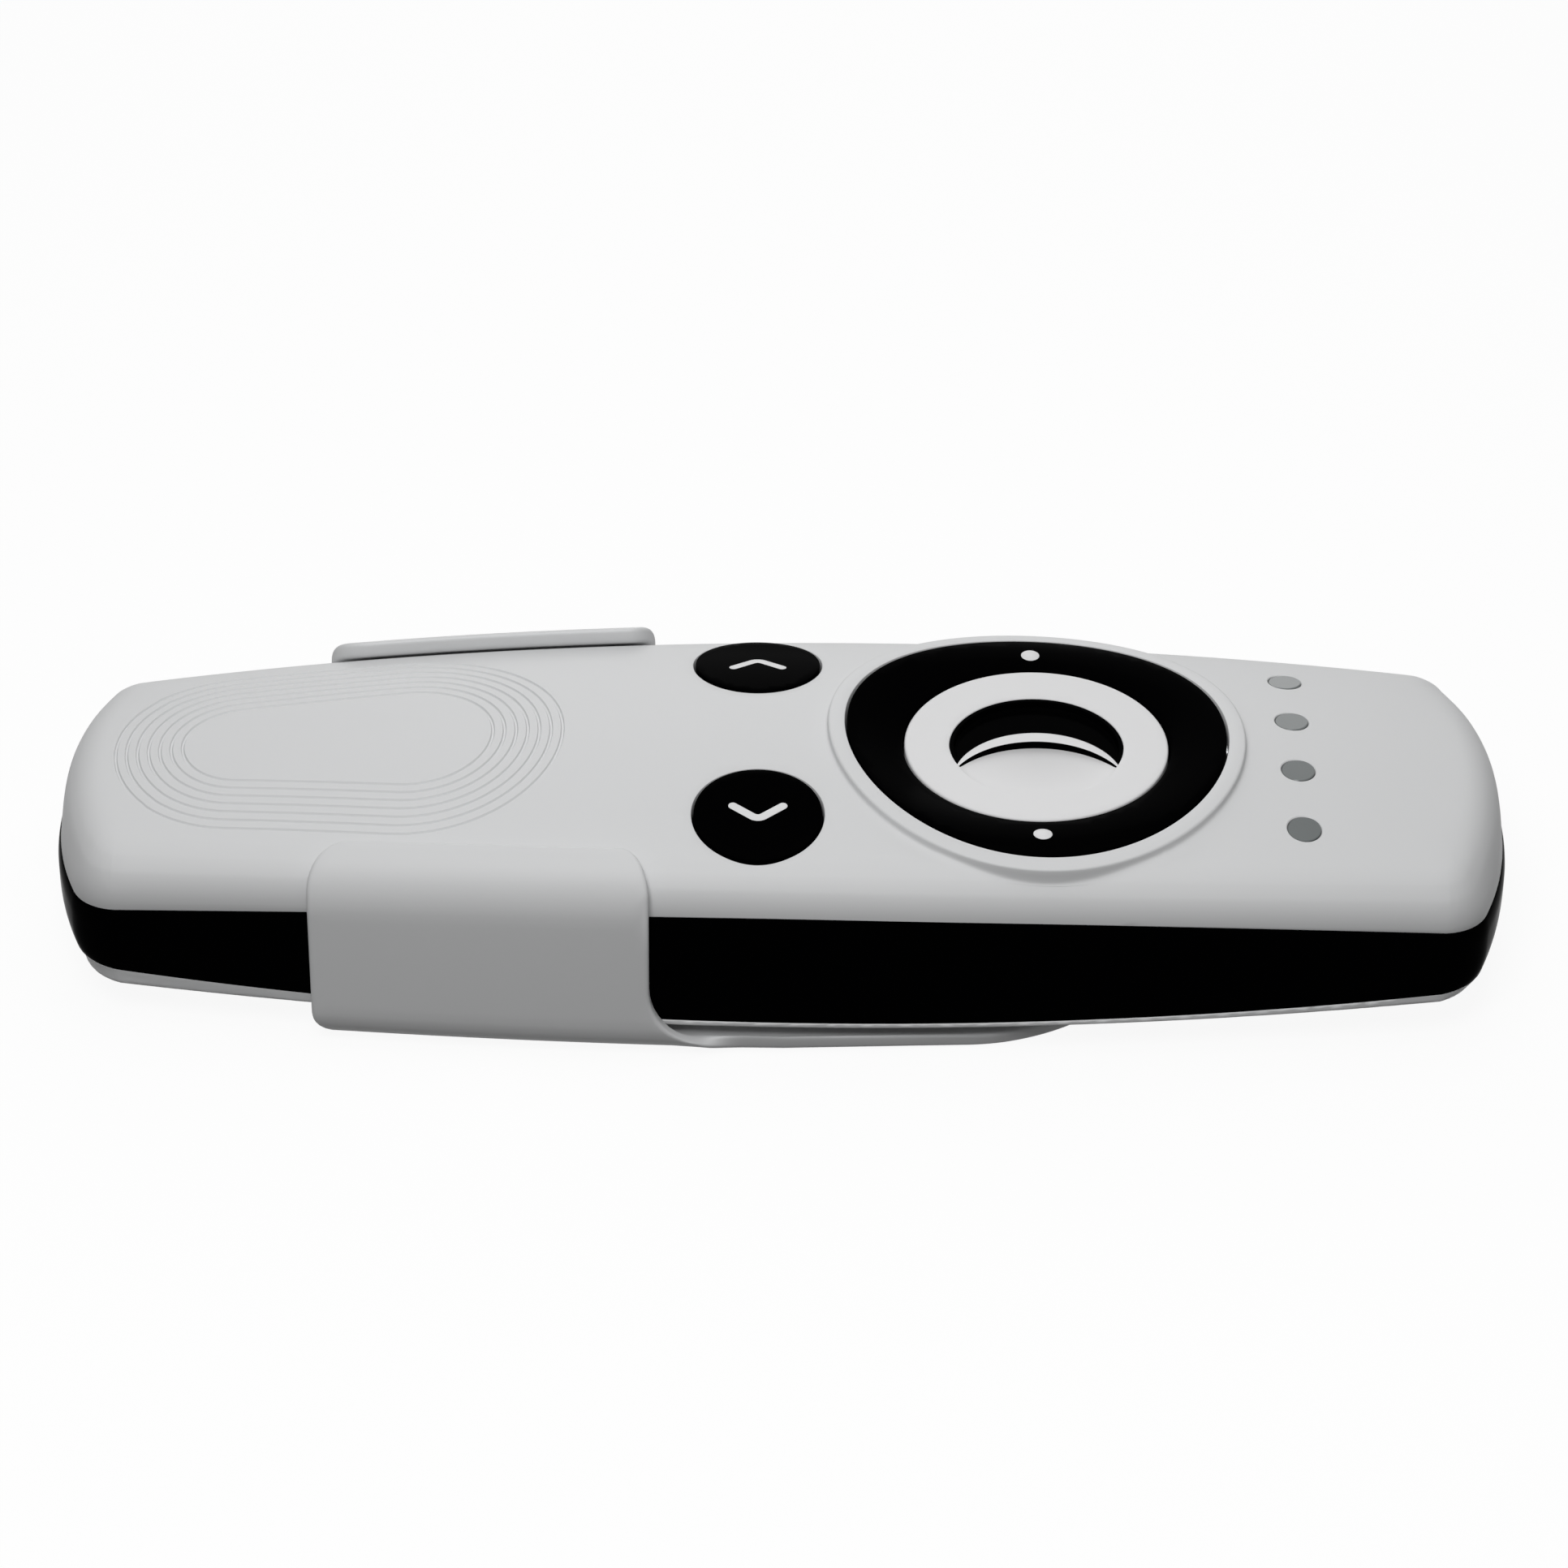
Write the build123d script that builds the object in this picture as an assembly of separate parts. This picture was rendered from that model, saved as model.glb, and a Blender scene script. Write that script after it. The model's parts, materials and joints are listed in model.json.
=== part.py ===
from build123d import *
from math import acos, asin, atan2, cos, degrees, radians, sin, sqrt
import os

# Hand-held remote control lying in its holder. Millimetres.
# X runs along the remote, towards the dial end. Y runs across it. Z is up.
# The origin is under the middle of the remote, on the holder's flat bottom.

# Remote, outline from above
body_length = 172.4
half_width = 26.68
widest_x = 16.9
side_radius = 714.3
left_end_radius = 46.0
right_end_radius = 55.0
corner_radius = 7.0

# Remote, from the side
body_height = 26.1
crown_radius = 87.4
ridge_radius = 877.0
shoulder_radius = 6.0
crown_steps = 8
keel_radius = 200.0
keel_ridge_radius = 1600.0
keel_x = -8.0
belly_edge_radius = 0.9
wall = 2.0
seam_drop = 8.73
band_height = 14.9
band_bottom_radius = 1087.0
tongue = 1.0
tongue_depth = 3.0

# Holder
plate_thickness = 2.0
rest_gap = 0.3
holder_wall = 1.9
holder_edge_radius = 5.2
holder_inner_radius = 2.0
wing_left_x = -55.0
wing_right_x = -15.6
wing_foot_radius = 8.0
wing_corner_radius = 5.0
lip_reach = 3.0
lip_corner_radius = 2.8
plate_half_width = 25.2
plate_end_radius = 24.1
plate_end_x = 20.3
plate_step_x = -9.0
wall_screw_radius = 2.1
wall_screw_head_radius = 3.3
wall_screw_spacing = 40.0
wall_screw_x = -5.0
wall_screw_land = 0.8

# Fine lines in the cover, a tapered racetrack
line_count = 7
line_width = 0.4
line_depth = 0.15
line_pitch = 1.37
track_left_x = -64.0
track_right_x = -42.8
track_left_radius = 15.2
track_right_radius = 17.4

# Arrow keys
key_x = -3.1
key_y = 15.6
key_radius = 7.46
key_gap = 0.25
key_lift = 0.15
key_flange = 1.0
key_flange_thickness = 1.0
key_travel = 0.8
under_gap = 0.3
stem_radius = 1.8
inlay_depth = 0.6
arrow_half_width = 3.45
arrow_rise = 3.3
arrow_stroke = 1.1

# Dial
dial_x = 29.8
dial_drop = 2.21
boss_radius = 25.3
boss_lift = 1.1
boss_rim_radius = 0.7
boss_foot_radius = 1.5
ring_radius = 22.4
ring_inner_radius = 15.85
ring_thickness = 2.8
ring_gap = 0.25
ring_steps = 12
ring_margin = 1.2
rocker_tilt = 2.0
marker_radius = 1.14
marker_place = 18.74
pin_radius = 1.0
pin_gap = 0.05
pin_drop = 1.2
pin_in = 2.9
foot_radius = 1.4
skirt_wall = 2.0

# Centre key
centre_radius = 15.6
centre_plate = 2.2
centre_edge_radius = 0.25
guide_radius = 12.0
guide_wall = 1.4
guide_gap = 0.1
hook_reach = 0.8
hook_height = 0.6
hook_width = 2.4
crescent_radius = 10.1
crescent_shift = 7.2
crescent_depth = 1.6
crescent_wall = 0.5
crescent_drop = 0.12
hollow_radius = 10.0
hollow_depth = 0.75
hollow_y = -1.0
lip_width = 2.0
lip_arc_radius = 10.95

# Dial carrier
carrier_thickness = 1.0
carrier_radius = 23.2
carrier_ear_radius = 2.3
carrier_ear_place = 26.4
carrier_ear_angles = (30.0, -30.0, 168.0, 192.0)

# Light windows
window_x = 60.36
window_pitch = 10.25
window_count = 4
window_radius = 1.99
chip_length = 3.2
chip_width = 2.8
chip_height = 1.1

# Circuit board and what is on it
board_top = 18.9
board_thickness = 1.6
board_left_x = -24.0
board_right_x = 79.0
board_inset = 3.4
mat_thickness = 0.5
mat_left_x = -13.0
mat_right_x = 53.0
dome_height = 2.5
dome_radius = 2.3
dome_tip_radius = 1.6
touch_gap = 0.05
controller_size = 7.0
controller_height = 1.0
controller_x = 10.0
radio_length = 16.0
radio_width = 12.0
radio_height = 2.2
radio_x = 52.0

# Screws
thread_radius = 0.8
head_radius = 1.6
head_height = 1.0
board_post_radius = 2.4
board_screw_places = ((-18.0, 12.0), (-18.0, -12.0), (68.0, 8.0), (68.0, -8.0))
board_screw_depth = 5.0
case_thread_radius = 1.0
case_head_radius = 2.0
case_head_height = 1.6
case_post_radius = 3.0
case_screw_places = ((-20.0, 19.0), (-20.0, -19.0), (76.0, 14.0), (76.0, -14.0))
case_joint_z = 12.0
case_screw_grip = 5.0
case_seat = 3.0
screw_clearance = 0.2
slot_length_share = 1.3
slot_width_share = 0.3

# Battery compartment
cell_radius = 5.25
cell_length = 44.5
cell_nub_radius = 1.9
cell_nub_length = 0.8
cell_pitch = 11.2
cell_z = 12.2
bay_left_x = -76.5
bay_right_x = -26.5
bay_wall = 1.2
bay_half_width = 12.8
bay_side_wall = 2.0
bay_top_z = 17.0
contact_thickness = 0.5
contact_width = 7.0
contact_height = 8.0
leaf_thickness = 0.4
leaf_fold = 1.2

# Battery door
door_gap = 0.3
door_top_z = 6.2
door_wall = 1.8
door_rim = 1.6
rail_drop = 0.4
rail_width = 1.0
rail_height = 0.7
rail_left_x = -80.0
grip_count = 5
grip_pitch = 2.0
grip_width = 0.8
grip_depth = 0.4
grip_length = 12.0
grip_x = -36.0

# Worked out from the sizes above
keel_z = plate_thickness + rest_gap
crown_z = keel_z + body_height
end_x = body_length / 2
band_bottom_z = crown_z - seam_drop - band_height
dial_z = crown_z - dial_drop
ring_bottom_z = dial_z - ring_thickness
carrier_z = ring_bottom_z - ring_radius * sin(radians(rocker_tilt)) - under_gap
mat_z = board_top + mat_thickness
dome_z = mat_z + dome_height
stem_z = dome_z + touch_gap
holder_grow = rest_gap + holder_wall
tall = 60.0
deep = 2 * tall


def box(x_from, x_to, y_from, y_to, z_from, z_to):
    """A box between two corners."""
    middle = Pos((x_from + x_to) / 2, (y_from + y_to) / 2, (z_from + z_to) / 2)
    return middle * Box(x_to - x_from, y_to - y_from, z_to - z_from)


def post(x, y, radius, z_from, z_to):
    """An upright cylinder."""
    return Pos(x, y, (z_from + z_to) / 2) * Cylinder(radius, z_to - z_from)


def upright(sketch, z_from, z_to):
    """A sketch seen from above, extruded between two heights."""
    return extrude(Pos(0, 0, z_from) * sketch, z_to - z_from, dir=(0, 0, 1))


def crossbar(radius, x, z):
    """A long cylinder lying across the remote."""
    return Pos(x, 0, z) * Rot(90, 0, 0) * Cylinder(radius, deep)


def outline_corner(middle_x, radius, grow, way):
    """Where a side arc of the outline meets an end arc."""
    side_y = half_width - side_radius
    apart = sqrt((middle_x - widest_x) ** 2 + side_y**2)
    reach = ((side_radius + grow) ** 2 - (radius + grow) ** 2 + apart**2) / (2 * apart)
    rise = sqrt((side_radius + grow) ** 2 - reach**2)
    along = (middle_x - widest_x) / apart
    across = -side_y / apart
    return (
        widest_x + reach * along + way * rise * across,
        side_y + reach * across - way * rise * along,
    )


def plan(grow=0.0):
    """The remote's outline from above, grown outwards by an offset."""
    left, left_y = outline_corner(left_end_radius - end_x, left_end_radius, grow, -1)
    right, right_y = outline_corner(end_x - right_end_radius, right_end_radius, grow, 1)
    side = half_width + grow
    outline = [
        ThreePointArc((left, left_y), (widest_x, side), (right, right_y)),
        ThreePointArc((right, right_y), (end_x + grow, 0), (right, -right_y)),
        ThreePointArc((right, -right_y), (widest_x, -side), (left, -left_y)),
        ThreePointArc((left, -left_y), (-end_x - grow, 0), (left, left_y)),
    ]
    face = make_face(outline)
    return fillet(face.vertices(), corner_radius + grow)


def sweep_along(section, x, z, ridge):
    """Revolve a cross section lengthwise, about an axis that lies across the remote."""
    middle = Axis((x, 0, z), (0, 1, 0))
    sweep = 2 * degrees(body_length / ridge)
    section = (Pos(x, 0, 0) * Plane.YZ * section).rotate(middle, -sweep / 2)
    return revolve(section, middle, revolution_arc=sweep)


def crown(lift=0.0):
    """Everything under the top surface, which may be lifted."""
    reach = half_width + 2 * shoulder_radius
    middle_z = crown_z - crown_radius
    heights = {
        y: middle_z + sqrt((crown_radius + lift) ** 2 - y**2)
        for y in [reach * (2 * step / crown_steps - 1) for step in range(crown_steps + 1)]
    }
    sides = [(reach, heights[reach]), (reach, -tall), (-reach, -tall), (-reach, heights[-reach])]
    section = make_face([Spline(*heights.items()), Polyline(*sides)])
    return sweep_along(section, 0, crown_z - ridge_radius, ridge_radius)


def keel(drop=0.0):
    """Everything over the underside, which may be lowered."""
    section = Pos(0, keel_z + keel_radius) * Circle(keel_radius + drop)
    section = section & (Pos(0, keel_z) * Rectangle(tall + half_width, deep))
    return sweep_along(section, keel_x, keel_z + keel_ridge_radius, keel_ridge_radius)


def local_crown(x, lift=0.0):
    """The top surface near one place along the remote, as a plain cylinder."""
    tilt = degrees(asin(x / ridge_radius))
    middle = Pos(x, 0, crown_height(x, 0)) * Rot(0, tilt, 0) * Pos(0, 0, -crown_radius)
    return middle * Rot(0, 90, 0) * Cylinder(crown_radius + lift, deep)


def block(grow=0.0):
    """The remote as one lump, or an offset of it."""
    lump = upright(plan(grow), -tall, tall) & crown(grow) & keel(grow)
    top = lump.faces().sort_by(Axis.Z)[-1]
    lump = fillet(top.edges(), shoulder_radius + grow)
    if belly_edge_radius + grow > 0:
        bottom = lump.faces().sort_by(Axis.Z)[0]
        lump = fillet(bottom.edges(), belly_edge_radius + grow)
    return lump


def crown_height(x, y):
    """Height of the top surface at a place seen from above."""
    across = crown_radius - sqrt(crown_radius**2 - y**2)
    along = ridge_radius - sqrt(ridge_radius**2 - x**2)
    return crown_z - across - along


def keel_height(x, y):
    """Height of the underside at a place seen from above."""
    across = keel_radius - sqrt(keel_radius**2 - y**2)
    along = keel_ridge_radius - sqrt(keel_ridge_radius**2 - (x - keel_x) ** 2)
    return keel_z + across + along


def seam_side(drop=0.0):
    """Everything under the seam between the cover and the band."""
    return crossbar(ridge_radius - seam_drop - drop, 0, crown_z - ridge_radius)


def band_side(rise=0.0):
    """Everything over the band's lower edge."""
    return crossbar(band_bottom_radius - rise, 0, band_bottom_z + band_bottom_radius)


def rim(inset, thickness):
    """An upright wall that follows the outline, inside it."""
    return upright(plan(-inset), 0, tall) - upright(plan(-inset - thickness), 0, tall)


def racetrack(inwards):
    """Outline of one fine line, the hull of two circles."""
    left = Pos(track_left_x, 0) * Circle(track_left_radius - inwards)
    right = Pos(track_right_x, 0) * Circle(track_right_radius - inwards)
    return make_hull((left + right).edges())


def fine_lines():
    """The shallow grooves that run round one another in the cover."""
    rings = []
    for step in range(line_count):
        inwards = step * line_pitch
        ring = racetrack(inwards - line_width / 2) - racetrack(inwards + line_width / 2)
        rings.append(upright(ring, case_joint_z, tall))
    floor = crown(-line_depth)
    return [ring - floor for ring in rings]


def key_frame(way):
    """Place and tilt of an arrow key on the crown."""
    tilt = degrees(atan2(key_y, sqrt(crown_radius**2 - key_y**2)))
    return Pos(key_x, way * key_y, crown_height(key_x, key_y)) * Rot(-way * tilt, 0, 0)


def dial_post(radius, z_from, z_to):
    """An upright cylinder about the dial's centre."""
    return post(dial_x, 0, radius, z_from, z_to)


def ear_places():
    """Centres of the carrier's screw ears."""
    return [
        (
            dial_x + carrier_ear_place * cos(radians(angle)),
            carrier_ear_place * sin(radians(angle)),
        )
        for angle in carrier_ear_angles
    ]


def window_places():
    """Centres of the light windows across the remote."""
    middle = (window_count - 1) / 2
    return [(window_x, (step - middle) * window_pitch) for step in range(window_count)]


def dial_surface(x, y):
    """Height of the dished ring, flat at its inner edge and on the boss at its outer."""
    near = ring_inner_radius**2
    share = ((x - dial_x) ** 2 + y**2 - near) / (ring_radius**2 - near)
    return dial_z + (crown_height(x, y) + boss_lift - dial_z) * share


def marker_floor(way):
    """Height of the bottom of a light dot's pocket."""
    return dial_surface(dial_x, way * marker_place) - inlay_depth


def make_rocker_ring(pins):
    """The black ring, with its feet, pin holes and marker pockets."""
    reach = ring_radius + ring_margin
    steps = [reach * (2 * step / ring_steps - 1) for step in range(ring_steps + 1)]
    grid = [[Vector(dial_x + x, y, dial_surface(dial_x + x, y)) for y in steps] for x in steps]
    skin = Face.make_surface_from_array_of_points(grid)
    ring = extrude(skin, dial_z, dir=(0, 0, -1))
    ring = ring & dial_post(ring_radius, ring_bottom_z, tall)
    ring = ring - dial_post(ring_inner_radius, 0, tall)
    for way in (-1, 1):
        ring = ring + post(dial_x, way * marker_place, foot_radius, stem_z, ring_bottom_z)
        ring = ring - post(dial_x, way * marker_place, marker_radius, marker_floor(way), tall)
    for pin in pins:
        ring = ring - pin
    return ring


def make_rocker_pins():
    """The two pins that the ring rocks on."""
    z = dial_z - pin_drop
    pins = []
    for way in (-1, 1):
        inner = dial_x + way * (ring_radius - pin_in)
        outer = dial_x + way * (ring_radius + ring_gap + skirt_wall - under_gap)
        middle = Pos((inner + outer) / 2, 0, z) * Rot(0, 90, 0)
        pins.append(middle * Cylinder(pin_radius, abs(outer - inner)))
    return pins


def make_markers():
    """The two light dots let into the ring."""
    dots = []
    for way in (-1, 1):
        floor = marker_floor(way)
        dots.append(post(dial_x, way * marker_place, marker_radius, floor, floor + inlay_depth))
    return dots


def crescent(inset=0.0):
    """The crescent seen from above."""
    outer = Pos(dial_x, 0) * Circle(crescent_radius - inset)
    return outer - Pos(dial_x, -crescent_shift) * Circle(crescent_radius + inset)


def make_thumb_inlay():
    """The black cup let into the centre key behind the thumb lip."""
    floor_z = dial_z - crescent_depth
    cup = upright(crescent(), floor_z, dial_z - crescent_drop)
    return cup - upright(crescent(crescent_wall), floor_z + crescent_wall, tall)


def make_centre_key():
    """The round push key with its thumb hollow, guide skirt and hooks."""
    plate_z = dial_z - centre_plate
    key = dial_post(centre_radius, plate_z, dial_z)
    key = fillet(key.faces().sort_by(Axis.Z)[-1].edges(), centre_edge_radius)
    ball = (hollow_radius**2 + hollow_depth**2) / (2 * hollow_depth)
    scoop = Pos(dial_x, hollow_y, dial_z - hollow_depth + ball) * Sphere(ball)
    lip_y = crescent_radius - crescent_shift - lip_width
    front = post(dial_x, lip_y - lip_arc_radius, lip_arc_radius, 0, tall)
    key = key - (scoop & front)
    key = key - upright(crescent(), dial_z - crescent_depth, tall)
    guide_z = carrier_z - carrier_thickness - under_gap - hook_height
    guide = dial_post(guide_radius, guide_z, plate_z)
    guide = guide - dial_post(guide_radius - guide_wall, 0, tall)
    hooks = dial_post(guide_radius + hook_reach, guide_z, guide_z + hook_height)
    hooks = hooks - dial_post(guide_radius - guide_wall / 2, 0, tall)
    reach = 2 * guide_radius
    arms = [
        Pos(dial_x, 0, guide_z) * Rot(0, 0, 90 + turn * 120) * Pos(reach, 0, 0)
        * Box(2 * reach, hook_width, tall)
        for turn in range(3)
    ]
    key = key + guide
    for arm in arms:
        key = key + (hooks & arm)
    return key + dial_post(stem_radius, stem_z, plate_z)


def make_dial_carrier():
    """The plate under the dial that guides the centre key."""
    low = carrier_z - carrier_thickness
    plate = dial_post(carrier_radius, low, carrier_z)
    for x, y in ear_places():
        plate = plate + post(x, y, carrier_ear_radius, low, carrier_z)
    for angle in carrier_ear_angles:
        arm = box(0, carrier_ear_place, -carrier_ear_radius, carrier_ear_radius, low, carrier_z)
        plate = plate + Pos(dial_x, 0, 0) * Rot(0, 0, angle) * arm
    plate = plate - dial_post(guide_radius + guide_gap, 0, tall)
    for way in (-1, 1):
        plate = plate - post(dial_x, way * marker_place, dome_radius + under_gap, 0, tall)
    for x, y in ear_places():
        plate = plate - post(x, y, thread_radius, 0, tall)
    return plate


def screw(x, y, radius, head, height, seat_z, tip_z):
    """A pan-head screw driven upwards when its tip is over its seat, else downwards."""
    way = 1 if tip_z > seat_z else -1
    shank = post(x, y, radius, min(seat_z, tip_z), max(seat_z, tip_z))
    low = seat_z - height if way > 0 else seat_z
    top = post(x, y, head, low, low + height)
    outside = top.faces().sort_by(Axis.Z)[0 if way > 0 else -1]
    top = fillet(outside.edges(), height / 3)
    long, narrow = head * slot_length_share, head * slot_width_share
    cross = Box(long, narrow, height / 2) + Box(narrow, long, height / 2)
    return top + shank - Pos(x, y, low if way > 0 else low + height) * cross


def make_carrier_screws():
    """Screws that hold the carrier to the cover."""
    seat = carrier_z - carrier_thickness
    tip = carrier_z + carrier_thickness
    return [screw(x, y, thread_radius, head_radius, head_height, seat, tip) for x, y in ear_places()]


def make_arrow(way):
    """Chevron inlay of an arrow key, flush with its top."""
    side = Vector(arrow_half_width - arrow_stroke / 2, -arrow_rise / 2 + arrow_stroke / 2)
    tip = Vector(0, arrow_rise / 2 - arrow_stroke / 2)
    path = FilletPolyline((-side.X, side.Y), (tip.X, tip.Y), (side.X, side.Y), radius=arrow_stroke)
    stroke = trace(path, arrow_stroke)
    for x in (-side.X, side.X):
        stroke = stroke + Pos(x, side.Y) * Circle(arrow_stroke / 2)
    flip = Rot(0, 0, 0) if way > 0 else Rot(0, 0, 180)
    prism = key_frame(way) * flip * extrude(stroke, key_travel, both=True)
    return (prism & local_crown(key_x, key_lift)) - local_crown(key_x, key_lift - inlay_depth)


def make_arrow_key(way, arrow):
    """A round arrow key with a flange under the cover and a stem to its dome."""
    frame = key_frame(way)
    low = -wall - under_gap - key_flange_thickness
    cap = frame * Pos(0, 0, low / 2 + key_travel) * Cylinder(key_radius, 2 * key_travel - low)
    cap = cap & local_crown(key_x, key_lift)
    edge = cap.faces().sort_by(Axis.Z)[-1]
    cap = fillet(edge.edges(), key_lift)
    flange = Pos(0, 0, low + key_flange_thickness / 2)
    flange = frame * flange * Cylinder(key_radius + key_flange, key_flange_thickness)
    cap = cap + (flange & block(-wall - under_gap))
    stem_length = crown_z - stem_z
    stem = frame * Pos(0, 0, low - stem_length / 2) * Cylinder(stem_radius, stem_length)
    stem = stem & box(-end_x, end_x, -half_width, half_width, stem_z, tall)
    return cap + stem - arrow


def make_windows():
    """Light windows, flush with the cover."""
    low = board_top + chip_height + under_gap
    surface = local_crown(window_x)
    return [post(x, y, window_radius, low, tall) & surface for x, y in window_places()]


def make_top_shell(outer, cavity):
    """The crowned cover with its boss, openings, skirt and screw bosses."""
    boss = dial_post(boss_radius, case_joint_z, tall) & crown(boss_lift)
    boss = fillet(boss.faces().sort_by(Axis.Z)[-1].edges(), boss_rim_radius)
    shell = outer + boss
    foot = [
        edge
        for edge in shell.edges()
        if abs((edge @ 0.5 - Vector(dial_x, 0, (edge @ 0.5).Z)).length - boss_radius) < touch_gap
        and (edge @ 0.5).Z < crown_height((edge @ 0.5).X, (edge @ 0.5).Y) + touch_gap
    ]
    shell = fillet(foot, boss_foot_radius)
    shell = shell - cavity - seam_side()
    shell = shell + (rim(wall, tongue) & (seam_side(-wall) - seam_side(tongue_depth)) & cavity)
    for way in (-1, 1):
        shell = shell - key_frame(way) * Cylinder(key_radius + key_gap, 4 * wall)
    for x, y in window_places():
        shell = shell - post(x, y, window_radius, 0, tall)
    under = crown(-wall / 2)
    skirt = dial_post(ring_radius + ring_gap + skirt_wall, carrier_z, tall)
    shell = shell + (skirt & under & cavity)
    for x, y in ear_places():
        shell = shell + (post(x, y, carrier_ear_radius, carrier_z, tall) & under)
    for x, y in case_screw_places:
        shell = shell + (post(x, y, case_post_radius, case_joint_z, tall) & under)
    shell = shell - dial_post(ring_radius + ring_gap, 0, tall)
    pin_reach = ring_radius + ring_gap + skirt_wall
    bearing = Pos(dial_x, 0, dial_z - pin_drop) * Rot(0, 90, 0)
    shell = shell - bearing * Cylinder(pin_radius + pin_gap, 2 * pin_reach)
    for x, y in ear_places():
        shell = shell - post(x, y, thread_radius, 0, carrier_z + carrier_thickness)
    for x, y in case_screw_places:
        shell = shell - post(x, y, case_thread_radius, 0, case_joint_z + case_screw_grip)
    for line in fine_lines():
        shell = shell - line
    return shell


def make_side_band(outer):
    """The gloss black band between the two shells."""
    return (outer - upright(plan(-wall), 0, tall)) & seam_side() & band_side()


def door_cut(clearance):
    """Space of the door and its rails, with a clearance round it."""
    half = bay_half_width - door_gap + clearance
    right = bay_right_x + bay_wall - door_gap + clearance
    space = box(-deep, right, -half, half, -deep, door_top_z + clearance)
    rail_top = door_top_z - rail_drop + clearance
    rail_low = rail_top - rail_height - 2 * clearance
    reach = half + rail_width
    rails = box(rail_left_x, bay_right_x, -reach, reach, rail_low, rail_top)
    if clearance > 0:
        rails = box(-deep, bay_right_x + clearance, -reach, reach, rail_low, rail_top)
    return space + rails


def make_battery_door(outer):
    """The sliding cover under the cells."""
    door = outer & door_cut(0.0)
    half = bay_half_width - door_gap - door_rim
    pocket = box(bay_left_x, bay_right_x - door_rim, -half, half, 0, tall)
    door = door - (pocket & block(-door_wall))
    for step in range(grip_count):
        x = grip_x - step * grip_pitch
        groove = Pos(x, 0, tall / 2) * Box(grip_width, grip_length, tall)
        door = door - (groove - keel(-grip_depth))
    return door


def make_bottom_shell(outer, cavity):
    """The underside with its posts, battery bay and door opening."""
    shell = (outer & upright(plan(-wall), 0, case_joint_z)) + (outer - band_side())
    shell = shell - cavity
    shell = shell + (rim(wall, tongue) & (band_side(-wall) - band_side(tongue_depth)) & cavity)
    floor = keel(-wall / 2)
    for x, y in board_screw_places:
        shell = shell + (post(x, y, board_post_radius, 0, board_top - board_thickness) & floor)
    for x, y in case_screw_places:
        shell = shell + (post(x, y, case_post_radius, 0, case_joint_z) & floor)
    side = bay_half_width + bay_side_wall
    left = bay_left_x - bay_wall
    right = bay_right_x + bay_wall
    bay = box(left, right, -side, side, 0, bay_top_z)
    bay = bay - box(bay_left_x, bay_right_x, -bay_half_width, bay_half_width, 0, tall)
    shell = shell + (bay & floor & cavity)
    shell = shell - door_cut(door_gap)
    for x, y in board_screw_places:
        top = board_top - board_thickness
        shell = shell - post(x, y, thread_radius, top - board_screw_depth, top)
    for x, y in case_screw_places:
        seat = keel_height(x, y) + case_seat
        shell = shell - post(x, y, case_thread_radius + screw_clearance, 0, tall)
        shell = shell - post(x, y, case_head_radius + screw_clearance, 0, seat)
    return shell


def make_case_screws():
    """Screws that hold the shells together, from below."""
    screws = []
    for x, y in case_screw_places:
        seat = keel_height(x, y) + case_seat
        tip = case_joint_z + case_screw_grip
        head = (case_head_radius, case_head_height)
        screws.append(screw(x, y, case_thread_radius, *head, seat, tip))
    return screws


def make_board():
    """The circuit board, notched round the case posts."""
    low = board_top - board_thickness
    board = upright(plan(-board_inset), low, board_top)
    board = board & box(board_left_x, board_right_x, -half_width, half_width, low, board_top)
    for x, y in case_screw_places:
        board = board - post(x, y, case_post_radius + under_gap, 0, tall)
    for x, y in board_screw_places:
        board = board - post(x, y, thread_radius, 0, tall)
    return board


def make_board_screws():
    """Screws that hold the board to its posts."""
    tip = board_top - board_thickness - board_screw_depth
    head = (head_radius, head_height)
    return [screw(x, y, thread_radius, *head, board_top, tip) for x, y in board_screw_places]


def make_keypad_mat():
    """The silicone sheet that carries the domes."""
    mat = upright(plan(-board_inset - tongue), board_top, mat_z)
    return mat & box(mat_left_x, mat_right_x, -half_width, half_width, board_top, mat_z)


def dome(x, y):
    """One collapsing silicone dome."""
    return Pos(x, y, mat_z + dome_height / 2) * Cone(dome_radius, dome_tip_radius, dome_height)


def key_foot(way):
    """Where an arrow key's stem meets its dome, seen from above."""
    frame = key_frame(way)
    start = frame.position
    down = frame * Pos(0, 0, -1)
    step = down.position - start
    reach = (start.Z - dome_z) / -step.Z
    return start.X + step.X * reach, start.Y + step.Y * reach


def make_cells():
    """Two cells side by side, facing opposite ways."""
    cells = []
    for way in (-1, 1):
        tip = bay_right_x - contact_thickness if way < 0 else bay_left_x + contact_thickness
        inwards = -1 if way < 0 else 1
        shoulder = tip + inwards * cell_nub_length
        end = tip + inwards * cell_length
        y = way * cell_pitch / 2
        body = Pos((shoulder + end) / 2, y, cell_z) * Rot(0, 90, 0)
        body = body * Cylinder(cell_radius, cell_length - cell_nub_length)
        body = fillet(body.edges(), cell_nub_length / 2)
        nub = Pos((tip + shoulder) / 2, y, cell_z) * Rot(0, 90, 0)
        cells.append(body + nub * Cylinder(cell_nub_radius, cell_nub_length))
    return cells


def make_contact_plates():
    """Flat contacts at the cells' raised ends."""
    plates = []
    for way, wall_x, inwards in ((-1, bay_right_x, -1), (1, bay_left_x, 1)):
        x = wall_x + inwards * contact_thickness / 2
        plate = Pos(x, way * cell_pitch / 2, cell_z)
        plates.append(plate * Box(contact_thickness, contact_width, contact_height))
    return plates


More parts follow.
